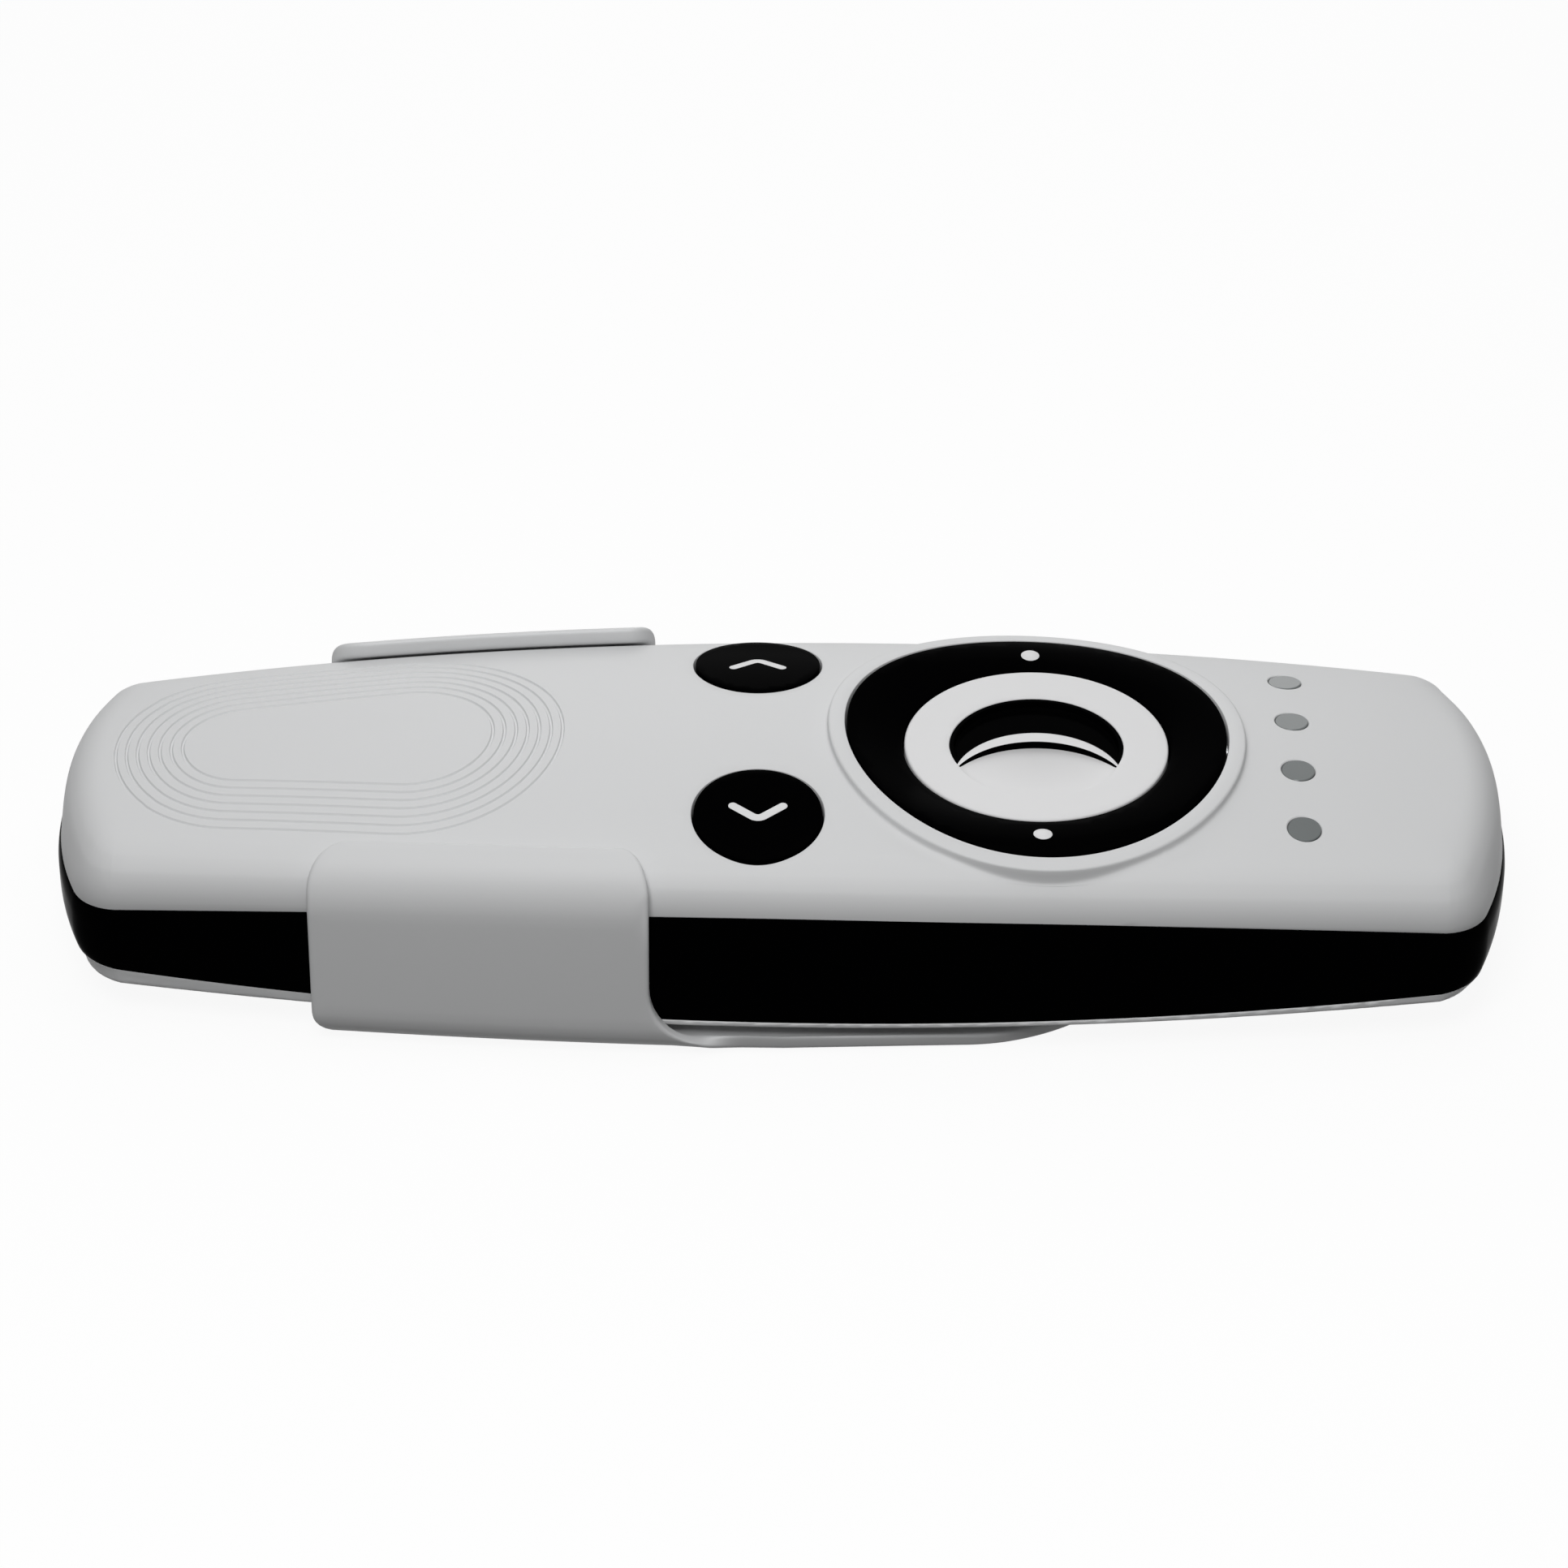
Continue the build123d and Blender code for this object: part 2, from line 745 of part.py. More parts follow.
def make_contact_springs():
    """Folded leaf contacts at the cells' flat ends."""
    springs = []
    reach = bay_right_x - bay_left_x - cell_length - contact_thickness
    for way, wall_x, inwards in ((-1, bay_left_x, 1), (1, bay_right_x, -1)):
        half = leaf_thickness / 2
        low = cell_z - contact_height / 2 + half
        high = cell_z + contact_height / 2 - half
        base = wall_x + inwards * half
        tip = wall_x + inwards * (reach - leaf_thickness)
        path = Polyline((base, low), (base, high), (tip, cell_z), (base + inwards * leaf_fold, low))
        strip = Plane.XZ * trace(path, leaf_thickness)
        y = way * cell_pitch / 2
        springs.append(Pos(0, y, 0) * extrude(strip, contact_width / 2, both=True))
    return springs


def make_led_chips():
    """Lamps under the light windows."""
    middle = board_top + chip_height / 2
    lamps = []
    for x, y in window_places():
        lamps.append(Pos(x, y, middle) * Box(chip_length, chip_width, chip_height))
    return lamps


def make_holder():
    """The flat plate with a wing on each side that curls over the remote's shoulders."""
    left = wing_left_x
    right = plate_end_x + plate_end_radius
    lump = upright(plan(holder_grow), 0, tall) & crown(holder_grow)
    lump = fillet(lump.faces().sort_by(Axis.Z)[-1].edges(), shoulder_radius + holder_grow)
    lump = fillet(lump.faces().sort_by(Axis.Z)[0].edges(), holder_edge_radius)
    hollow = upright(plan(rest_gap), plate_thickness, tall) & crown(rest_gap)
    hollow = fillet(hollow.faces().sort_by(Axis.Z)[-1].edges(), shoulder_radius + rest_gap)
    hollow = fillet(hollow.faces().sort_by(Axis.Z)[0].edges(), holder_inner_radius)
    # Side view: plate, wing, and the round foot between them
    foot = wing_foot_radius
    wing = Rectangle(wing_right_x - left, tall, align=(Align.MIN, Align.MIN))
    side = Pos(left, 0) * wing
    plate = Rectangle(right - left, plate_thickness, align=(Align.MIN, Align.MIN))
    side = side + Pos(left, 0) * plate
    web = Rectangle(foot, foot, align=(Align.MIN, Align.MIN))
    web = Pos(wing_right_x, plate_thickness) * web
    side = side + (web - Pos(wing_right_x + foot, plate_thickness + foot) * Circle(foot))
    corner = side.vertices().sort_by_distance((left, 0, 0))[0]
    side = fillet(corner, wing_corner_radius)
    shape = (lump - hollow) & extrude(Plane.XZ * side, tall, both=True)
    # Seen from above: the lips keep clear of the remote's back
    lips = Pos((left + wing_right_x) / 2, 0) * Rectangle(wing_right_x - left, 2 * deep)
    lips = lips - plan(-lip_reach)
    inside = [v for v in lips.vertices() if abs(v.Y) < half_width]
    lips = fillet(inside, lip_corner_radius)
    shoulder_z = crown_z - seam_drop
    above = box(-deep, deep, -deep, deep, shoulder_z, deep)
    shape = shape - (above - upright(lips, 0, tall))
    # Seen from above: the plate narrows to its round end
    apart = sqrt(plate_end_x**2 + plate_half_width**2)
    turn = atan2(plate_half_width, -plate_end_x) - acos(plate_end_radius / apart)
    touch = (plate_end_x + plate_end_radius * cos(turn), plate_end_radius * sin(turn))
    edge = [
        (-deep, -plate_half_width),
        (0, -plate_half_width),
        (touch[0], -touch[1]),
        touch,
        (0, plate_half_width),
        (-deep, plate_half_width),
    ]
    outline = make_face(Polyline(*edge, close=True))
    outline = outline + Pos(plate_end_x, 0) * Circle(plate_end_radius)
    wide = Pos(plate_step_x - deep / 2, 0) * Rectangle(deep, deep)
    shape = shape & upright(outline + wide, -1, tall)
    for way in (-1, 1):
        x = wall_screw_x + way * wall_screw_spacing / 2
        shape = shape - post(x, 0, wall_screw_radius, -1, tall)
        depth = plate_thickness - wall_screw_land
        sink = Cone(wall_screw_radius, wall_screw_head_radius, depth)
        shape = shape - Pos(x, 0, wall_screw_land + depth / 2) * sink
    return shape


def save(name, piece):
    """Write one node, a single solid or a group of separate ones."""
    if isinstance(piece, list):
        piece = Compound(children=[solid for item in piece for solid in item.solids()])
    export_step(piece, os.path.join("parts", name + ".step"))


def main():
    """Build every node."""
    os.makedirs("parts", exist_ok=True)
    outer = block()
    cavity = block(-wall)
    pins = make_rocker_pins()
    arrows = {way: make_arrow(way) for way in (-1, 1)}
    low = board_top - board_thickness
    save("holder", make_holder())
    save("top_shell", make_top_shell(outer, cavity))
    save("side_band", make_side_band(outer))
    save("bottom_shell", make_bottom_shell(outer, cavity))
    save("battery_door", make_battery_door(outer))
    save("battery_cells", make_cells())
    save("contact_plates", make_contact_plates())
    save("contact_springs", make_contact_springs())
    save("circuit_board", make_board())
    save("board_screws", make_board_screws())
    save("case_screws", make_case_screws())
    controller = Box(controller_size, controller_size, controller_height)
    save("controller_chip", Pos(controller_x, 0, low - controller_height / 2) * controller)
    radio = Box(radio_length, radio_width, radio_height)
    save("radio_module", Pos(radio_x, 0, low - radio_height / 2) * radio)
    save("led_chips", make_led_chips())
    save("led_windows", make_windows())
    save("keypad_mat", make_keypad_mat())
    save("up_dome", dome(*key_foot(1)))
    save("down_dome", dome(*key_foot(-1)))
    save("centre_dome", dome(dial_x, 0))
    save("rocker_domes", [dome(dial_x, way * marker_place) for way in (-1, 1)])
    save("dial_carrier", make_dial_carrier())
    save("carrier_screws", make_carrier_screws())
    save("rocker_ring", make_rocker_ring(pins))
    save("rocker_pins", pins)
    save("ring_markers", make_markers())
    save("centre_key", make_centre_key())
    save("thumb_inlay", make_thumb_inlay())
    save("up_button", make_arrow_key(1, arrows[1]))
    save("up_arrow", arrows[1])
    save("down_button", make_arrow_key(-1, arrows[-1]))
    save("down_arrow", arrows[-1])


main()
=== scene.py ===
"""A bowed hand-held remote control, lying in a holder with a wing on each side.

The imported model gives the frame. Smooth shells, finishes and a studio are built round it.
Lengths are in metres. X runs along the remote, towards its dial, and Z is up.
"""

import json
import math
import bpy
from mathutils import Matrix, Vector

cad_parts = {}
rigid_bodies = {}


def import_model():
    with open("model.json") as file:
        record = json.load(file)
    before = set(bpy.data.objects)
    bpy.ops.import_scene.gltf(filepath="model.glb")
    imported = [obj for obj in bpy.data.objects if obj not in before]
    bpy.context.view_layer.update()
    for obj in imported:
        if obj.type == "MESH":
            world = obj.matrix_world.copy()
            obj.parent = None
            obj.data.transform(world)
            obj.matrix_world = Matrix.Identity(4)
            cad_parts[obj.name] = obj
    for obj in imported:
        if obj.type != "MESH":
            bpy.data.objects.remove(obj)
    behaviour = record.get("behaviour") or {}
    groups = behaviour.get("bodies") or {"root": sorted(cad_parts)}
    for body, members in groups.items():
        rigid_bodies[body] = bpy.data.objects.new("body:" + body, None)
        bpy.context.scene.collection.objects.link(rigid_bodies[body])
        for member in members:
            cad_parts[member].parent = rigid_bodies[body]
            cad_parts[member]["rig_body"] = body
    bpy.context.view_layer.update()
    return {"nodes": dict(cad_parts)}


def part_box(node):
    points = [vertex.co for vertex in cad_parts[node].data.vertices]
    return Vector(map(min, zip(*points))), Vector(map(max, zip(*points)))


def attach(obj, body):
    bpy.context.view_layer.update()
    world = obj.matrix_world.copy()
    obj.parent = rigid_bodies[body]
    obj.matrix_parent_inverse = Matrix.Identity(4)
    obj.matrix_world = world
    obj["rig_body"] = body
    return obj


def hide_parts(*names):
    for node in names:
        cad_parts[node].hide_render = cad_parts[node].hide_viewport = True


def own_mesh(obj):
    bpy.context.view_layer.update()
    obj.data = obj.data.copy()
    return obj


bl_info = {
    "name": "Remote control in its holder",
    "version": (1, 0, 0),
    "blender": (4, 5, 0),
    "location": "View3D > Sidebar > Remote",
    "description": "Builds the shells, keys, dial and holder of a remote control, and a studio",
    "category": "Add Mesh",
}

import bmesh
import bpy
import numpy as np
from bpy.props import FloatProperty, FloatVectorProperty, IntProperty, PointerProperty
from mathutils import Matrix, Vector
from mathutils.geometry import delaunay_2d_cdt

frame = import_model()

MM = 0.001
SLOTS = {
    "shell": "light_grey_plastic",
    "key_cap": "white_plastic",
    "black": "gloss_black",
    "window": "window_grey",
    "inner_plastic": "inner_plastic",
    "silicone": "silicone",
    "board": "board_green",
    "steel": "can_metal",
    "lamp": "lamp_white",
    "cell": "cell_jacket",
}
ROUND_MIDDLE = 0.3  # how far in and down the middle of a rounded edge lies, as a share of its size
EDGE = 0.16 * MM  # soft edge of the ring and of the arrow keys
INLAY_DEPTH = 0.6 * MM  # depth of the pockets for the dots and arrows
GRAIN_SCALE, GRAIN_DEPTH = 2600.0, 0.03 * MM  # a moulding's specks
POLISH_DEPTH = 0.02 * MM  # the unevenness left by polishing or drawing
ROLL_STEPS, RING_STEPS = 16, 8  # loops of the shoulder's roll, and those joined as rings
FRAME_WIDTH = 36  # the camera's frame, in the lens's millimetres


def length(name, description, default):
    """A size that a user may change, given in millimetres."""
    return FloatProperty(
        name=name, description=description, default=default * MM, unit="LENGTH", precision=5
    )


def colour(name, description, default):
    """A linear colour that a user may change."""
    return FloatVectorProperty(
        name=name, description=description, default=default, subtype="COLOR", size=3, min=0.0, max=1.0
    )


def degrees(name, description, default):
    """An angle that a user may change, given in degrees."""
    return FloatProperty(name=name, description=description, default=math.radians(default), subtype="ANGLE")


def power(name, description, default):
    """A lamp's power that a user may change."""
    return FloatProperty(name=name, description=description, default=default, min=0, unit="POWER")


# Sizes and colours


class RemoteBodySizes(bpy.types.PropertyGroup):
    body_length: length("Length", "Remote from end to end", 172.4)
    half_width: length("Half width", "Middle to side at the widest place", 26.68)
    widest_x: length("Widest place", "Where along the remote it is widest", 16.9)
    side_radius: length("Side radius", "Bow of the long sides", 714.3)
    left_end_radius: length("Rear radius", "Bow of the rear end", 46.0)
    right_end_radius: length("Front radius", "Bow of the front end", 55.0)
    corner_radius: length("Corner radius", "Corners seen from above", 7.0)
    top: length("Top", "Height of the crown's middle", 28.4)
    crown_radius: length("Crown radius", "Bow of the top, across", 87.4)
    ridge_radius: length("Ridge radius", "Bow of the top, lengthwise", 877.0)
    shoulder_radius: length("Shoulder radius", "Roll from the top into the side", 6.0)
    wall: length("Wall", "Thickness of the shells", 2.0)
    seam_drop: length("Seam drop", "Crown to the band's upper edge", 8.73)
    band_height: length("Band height", "Height of the black band at mid-length", 14.9)
    band_bottom_radius: length("Band radius", "Bow of the band's lower edge", 1087.0)
    edge: length("Edge", "Soft edge where two mouldings meet", 0.16)
    seam_inset: length("Seam inset", "How far the ends lean in at the seam", 0.45)
    cover_inset: length("Cover inset", "How much further the cover's ends lean in", 0.55)
    front_inset: length("Front inset", "How far the front end is drawn in", 0.3)
    foot_inset: length("Foot inset", "How far the ends are drawn in at the band's foot", 0.5)
    bow_reach: length("Bow reach", "How far in from the sides the bow is felt", 16.0)
    belly_rise: length("Belly rise", "How far the underside rises towards its edge", 1.35)
    line_count: IntProperty(name="Lines", description="Fine grooves in the cover", default=7, min=0, max=9)
    line_pitch: length("Line pitch", "From one groove to the next", 1.37)
    line_width: length("Line width", "Width of a groove", 0.46)
    line_depth: length("Line depth", "Depth of a groove", 0.22)
    track_left_x: length("Track rear", "Middle of the grooves' rear bends", -63.5)
    track_right_x: length("Track front", "Middle of the grooves' front bends", -44.0)
    track_left_radius: length("Rear bend", "Outermost rear bend", 15.7)
    track_right_radius: length("Front bend", "Outermost front bend", 17.9)


class RemoteDialSizes(bpy.types.PropertyGroup):
    place: length("Place", "Middle of the dial along the remote", 29.8)
    drop: length("Drop", "Crown to the dial's flat middle", 2.21)
    boss_lift: length("Boss lift", "How far the boss stands over the crown", 1.1)
    boss_foot: length("Boss foot", "Where the boss runs out into the cover", 26.9)
    boss_crisp: FloatProperty(
        name="Boss crispness", description="How tightly its foot bends", default=3.0, min=1
    )
    boss_narrowing: length("Boss narrowing", "How much nearer its foot is at the remote's sides", 2.0)
    boss_rim: length("Boss rim", "Where the boss turns flat", 24.35)
    ring_radius: length("Ring radius", "Outer radius of the black ring", 22.4)
    ring_inner_radius: length("Ring bore", "Inner radius of the black ring", 15.85)
    ring_thickness: length("Ring thickness", "Thickness of the ring", 2.8)
    ring_gap: length("Gap", "Gap round the ring", 0.25)
    marker_place: length("Dot place", "Middle of the dial to a dot", 18.74)
    marker_radius: length("Dot radius", "Radius of a light dot", 1.14)
    foot_radius: length("Foot radius", "Feet under the ring", 1.4)


class RemoteKeySizes(bpy.types.PropertyGroup):
    centre_radius: length("Centre radius", "Radius of the centre key", 15.6)
    centre_plate: length("Centre plate", "Thickness of the centre key", 2.2)
    centre_edge: length("Centre edge", "Rounding of the centre key's edge", 0.3)
    guide_radius: length("Guide radius", "Skirt under the centre key", 12.0)
    guide_wall: length("Guide wall", "Wall of the skirt", 1.4)
    crescent_radius: length("Crescent radius", "Inner arc of the crescent", 10.1)
    crescent_width: length("Crescent half width", "Dial's middle to the crescent's ends", 10.3)
    crescent_flat: length("Crescent flat", "How much nearer its outer arc is at the top", 0.5)
    crescent_shift: length("Crescent shift", "From the outer arc's middle to the inner one's", 7.6)
    crescent_depth: length("Crescent depth", "Depth of the crescent's cup", 1.6)
    hollow_radius: length("Hollow radius", "Thumb hollow seen from above", 10.0)
    hollow_depth: length("Hollow depth", "Thumb hollow under the lip", 0.9)
    hollow_y: length("Hollow place", "Middle of the thumb hollow from the dial's", -1.0)
    dome_travel: length("Dome travel", "How far a key presses its silicone dome down", 0.8)
    lip_width: length("Lip width", "Lip between the crescent and the hollow", 1.9)
    lip_radius: length("Lip arc", "Radius of the lip's lower arc", 10.95)
    key_lift: length("Key lift", "How far an arrow key stands over the crown", 0.15)
    arrow_half_width: length("Arrow half width", "Half the width of an arrow", 3.45)
    arrow_rise: length("Arrow rise", "Height of an arrow seen from above", 3.3)
    arrow_stroke: length("Arrow stroke", "Width of an arrow's stroke", 1.1)
    key_x: length("Place", "Arrow keys along the remote", -3.1)
    key_y: length("Spread", "Arrow keys from the middle", 15.6)
    key_radius: length("Radius", "Radius of an arrow key", 7.46)
    key_gap: length("Gap", "Gap round an arrow key", 0.25)
    window_x: length("Window place", "Light windows along the remote", 60.36)
    window_pitch: length("Window pitch", "From one light window to the next", 10.25)
    window_count: IntProperty(
        name="Windows", description="Number of light windows", default=4, min=1, max=4
    )
    window_radius: length("Window radius", "Radius of a light window", 1.99)


class RemoteHolderSizes(bpy.types.PropertyGroup):
    gap: length("Gap", "Air between the remote and the holder", 0.3)
    thickness: length("Thickness", "Thickness of the wings", 1.9)
    floor: length("Plate", "Thickness of the plate", 2.0)
    taper: length("Taper", "How far the wings lean in at their feet", 0.3)
    edge_radius: length("Lower bend", "Bend from the plate into a wing", 5.2)
    inner_radius: length("Inner bend", "The same bend on the inside", 2.0)
    wing_left_x: length("Wing rear", "Rear edge of the wings", -55.0)
    wing_right_x: length("Wing front", "Front edge of the wings", -15.6)
    foot_radius: length("Foot radius", "Sweep from a wing's front edge into the plate", 8.0)
    corner_radius: length("Corner radius", "Rear lower corners of the wings", 5.0)
    lip_reach: length("Lip reach", "How far a wing curls over the remote's edge", 3.0)
    lip_rear: length("Rear lip corner", "Rear corners of the curled lips, along the remote", 5.0)
    lip_front: length("Front lip corner", "Front corners of the curled lips, along the remote", 3.2)
    lip_drop: length("Lip corner drop", "How far these corners reach down round the lips", 6.6)
    rim: length("Rim", "Rounding of the holder's edges", 0.55)
    plate_half_width: length("Plate half width", "Middle to side of the plate", 26.3)
    plate_bevel: length("Plate bevel", "How far the plate's edge slopes in towards the floor", 0.5)
    plate_end_x: length("Plate end", "Middle of the plate's round end", 20.3)
    plate_end_radius: length("Plate end radius", "Radius of the plate's round end", 25.1)
    plate_step_x: length("Plate step", "Where the wings' feet end", -9.0)
    screw_x: length("Screw place", "Middle of the wall screw holes", -5.0)
    screw_spacing: length("Screw spacing", "Between the wall screw holes", 40.0)
    screw_radius: length("Screw radius", "Radius of a wall screw hole", 2.1)
    screw_land: length("Screw land", "Straight part of a wall screw hole", 0.8)
    screw_head_radius: length("Head radius", "Countersink of a wall screw hole", 3.3)


class RemoteFinishes(bpy.types.PropertyGroup):
    shell: colour("Shell", "Light grey moulded plastic", (0.63, 0.635, 0.64))
    key_cap: colour("Key cap", "Paler plastic of the push key and the glyphs", (0.70, 0.70, 0.705))
    black: colour("Black", "Black gloss plastic", (0.0006, 0.0006, 0.0007))
    window: colour("Window", "Smoked light window", (0.155, 0.168, 0.168))


class RemoteStudio(bpy.types.PropertyGroup):
    lens: FloatProperty(
        name="Lens", description="Focal length on a 36 mm frame", default=131.96, min=10, unit="CAMERA"
    )
    distance: length("Distance", "Camera to the point it looks at", 668.1)
    elevation: degrees("Elevation", "Camera above the horizon", 34.61)
    azimuth: degrees("Azimuth", "Camera round the object", -0.53)
    roll: degrees("Roll", "Camera about its own axis", 0.53)
    key_power: power("Key light", "Power of the soft light beside the camera", 2.5)
    top_power: power("Top light", "Power of the soft light overhead", 0.27)
    back_power: power("Back light", "Power of the soft light behind", 0.44)
    sky: FloatProperty(name="Sky", description="Strength of the even light all round", default=0.21, min=0)


# The remote's form


def unit_vectors(angles):
    """Directions at these angles, seen from above."""
    return np.stack([np.cos(angles), np.sin(angles)], axis=1)


def circles_cross(first, first_radius, second, second_radius, way):
    """Where two circles cross, on one side of the line between their middles."""
    first, second = np.asarray(first), np.asarray(second)
    apart = np.linalg.norm(second - first)
    along = (second - first) / apart
    across = np.array([-along[1], along[0]])
    reach = (first_radius**2 - second_radius**2 + apart**2) / (2 * apart)
    return first + reach * along + way * math.sqrt(first_radius**2 - reach**2) * across


class RemoteForm:
    """The remote's outline, crown and seams, from its sizes."""

    def __init__(self, body, dial):
        self.body, self.dial = body, dial
        self.end = body.body_length / 2
        self.edge_points = self.outline(2.0)

    def outline(self, dense=1.0):
        """Points on the outline seen from above, and their outward normals."""
        body = self.body
        side = np.array([body.widest_x, body.half_width - body.side_radius])
        inner_side = body.side_radius - body.corner_radius
        front = np.array([self.end - body.right_end_radius, 0.0])
        rear = np.array([body.left_end_radius - self.end, 0.0])
        front_corner = circles_cross(side, inner_side, front, body.right_end_radius - body.corner_radius, -1)
        rear_corner = circles_cross(side, inner_side, rear, body.left_end_radius - body.corner_radius, 1)

        def facing(start, end):
            return math.atan2(*(end - start)[::-1])

        turns = [
            facing(front, front_corner), facing(side, front_corner),
            facing(side, rear_corner), facing(rear, rear_corner),
        ]
        flip = np.array([1, -1])
        arcs = [
            (front, body.right_end_radius, -turns[0], turns[0], 44),
            (front_corner, body.corner_radius, turns[0], turns[1], 22),
            (side, body.side_radius, turns[1], turns[2], 96),
            (rear_corner, body.corner_radius, turns[2], turns[3], 20),
            (rear, body.left_end_radius, turns[3], math.tau - turns[3], 40),
            (rear_corner * flip, body.corner_radius, math.tau - turns[3], math.tau - turns[2], 20),
            (side * flip, body.side_radius, math.tau - turns[2], math.tau - turns[1], 96),
            (front_corner * flip, body.corner_radius, math.tau - turns[1], math.tau - turns[0], 22),
        ]
        points, normals = [], []
        for middle, radius, start, end, count in arcs:
            angles = np.linspace(start, end, max(3, round(count * dense)), endpoint=False)
            facings = unit_vectors(angles)
            points.append(middle + radius * facings)
            normals.append(facings)
        return np.concatenate(points), np.concatenate(normals)

    def reach(self, places):
        """How far inside each stretch of the outline places lie, seen from above."""
        points, normals = self.edge_points
        return np.sum(points * normals, axis=1) - places @ normals.T

    def side_y(self, x):
        """Half the width at a place along the remote."""
        body = self.body
        return body.half_width - body.side_radius + np.sqrt(body.side_radius**2 - (x - body.widest_x) ** 2)

    def crown(self, x, y, lift=0.0):
        """Height of the crown, which may be lifted along its normal."""
        body = self.body
        across = body.top - body.crown_radius + np.sqrt((body.crown_radius + lift) ** 2 - y**2)
        axis = body.top - body.ridge_radius
        return axis + np.sqrt((across - axis) ** 2 - x**2)

    def crown_facing(self, x, y):
        """The crown's outward normal."""
        across = np.arcsin(y / self.body.crown_radius)
        along = np.arcsin(x / self.body.ridge_radius)
        flat = np.cos(across)
        return np.stack([flat * np.sin(along), np.sin(across), flat * np.cos(along)], axis=-1)

    def surface(self, x, y):
        """Height of the cover, crown and shoulder, without the dial's boss."""
        roll = self.body.shoulder_radius
        places = np.stack([x, y], axis=-1)
        reach = self.reach(places)
        nearest = np.argmin(reach, axis=-1)
        facing = self.edge_points[1][nearest]
        out = np.clip(roll - np.take_along_axis(reach, nearest[..., None], axis=-1)[..., 0], 0, roll)
        middle = places - out[..., None] * facing
        turn = self.crown_facing(middle[..., 0], middle[..., 1])
        lean = roll * np.sum(turn[..., :2] * facing, axis=-1)
        rolled = self.crown(middle[..., 0], middle[..., 1], -roll) + np.sqrt(roll**2 - out**2)
        return np.where(out > np.maximum(lean, 1e-6), rolled, self.crown(x, y))

    def dial_surface(self, x, y):
        """Height of the dished ring, flat at its bore and on the boss at its rim."""
        dial = self.dial
        flat = self.body.top - dial.drop
        near = dial.ring_inner_radius**2
        share = ((x - dial.place) ** 2 + y**2 - near) / (dial.ring_radius**2 - near)
        return flat + (self.crown(x, y) + dial.boss_lift - flat) * share

    def seam(self, x):
        """Height of the joint between the cover and the band."""
        axis = self.body.top - self.body.ridge_radius
        return axis + np.sqrt((self.body.ridge_radius - self.body.seam_drop) ** 2 - x**2)

    def band_foot(self, x):
        """Height of the band's lower edge."""
        radius = self.body.band_bottom_radius
        low = self.body.top - self.body.seam_drop - self.body.band_height
        return low + radius - np.sqrt(radius**2 - x**2)

    def drawn_in(self, places):
        """Places of a straight-sided body, moved onto the real one's bowed ends and belly."""
        body = self.body
        below_waist, above_waist = 0.7, 0.3  # shares of the band's height
        past_foot = 1.3  # how far down it goes on, as a share of the height below the waist
        cover_share, belly_bend = 0.55, 1.4 * MM
        reach = self.reach(places[:, :2])
        facing = self.edge_points[1][np.argmin(reach, axis=1)]
        fade = np.clip(1 - np.min(reach, axis=1) / body.bow_reach, 0, 1) ** 2
        low, seam = self.band_foot(places[:, 0]), self.seam(places[:, 0])
        share = (places[:, 2] - low) / (seam - low)
        climb = np.clip((places[:, 2] - seam) / (cover_share * body.seam_drop), 0, 1)
        inset = body.seam_inset * np.clip((share - below_waist) / above_waist, 0, 1) ** 2
        inset += body.cover_inset * climb**2 * (3 - 2 * climb) + body.front_inset * (facing[:, 0] > 0)
        inset += body.foot_inset * np.clip((below_waist - share) / below_waist, 0, past_foot) ** 4
        moved = places.copy()
        moved[:, :2] -= (inset * fade * np.abs(facing[:, 0]))[:, None] * facing
        below = np.clip(low - places[:, 2], 0, None)
        moved[:, 2] += body.belly_rise * fade * below**2 / (below**2 + belly_bend**2)
        return moved

    def track(self):
        """The outermost racetrack groove: bend middles, radii and outward normals."""
        body = self.body
        apart = body.track_right_x - body.track_left_x
        tilt = math.acos((body.track_left_radius - body.track_right_radius) / apart)
        in_front, in_rear, in_side = 70, 54, 14  # points of each bend and each side
        front = np.linspace(-tilt, tilt, in_front)
        rear = np.linspace(tilt, math.tau - tilt, in_rear)
        angles = np.concatenate([front, np.full(in_side, tilt), rear, np.full(in_side, -tilt)])
        steps = np.linspace(0, 1, in_side + 2)[1:-1]
        share = np.concatenate([np.ones(in_front), 1 - steps, np.zeros(in_rear), steps])
        middles = np.stack([body.track_left_x + share * apart, np.zeros_like(share)], axis=1)
        radii = body.track_left_radius + share * (body.track_right_radius - body.track_left_radius)
        return middles, radii, unit_vectors(angles)

    def track_depth(self, x, y):
        """How far inside the outermost groove a point lies."""
        middles, radii, normals = self.track()
        places = np.stack([x, y], axis=-1)[..., None, :]
        return np.min(np.sum((middles + radii[:, None] * normals - places) * normals, axis=-1), axis=-1)


# Mesh building


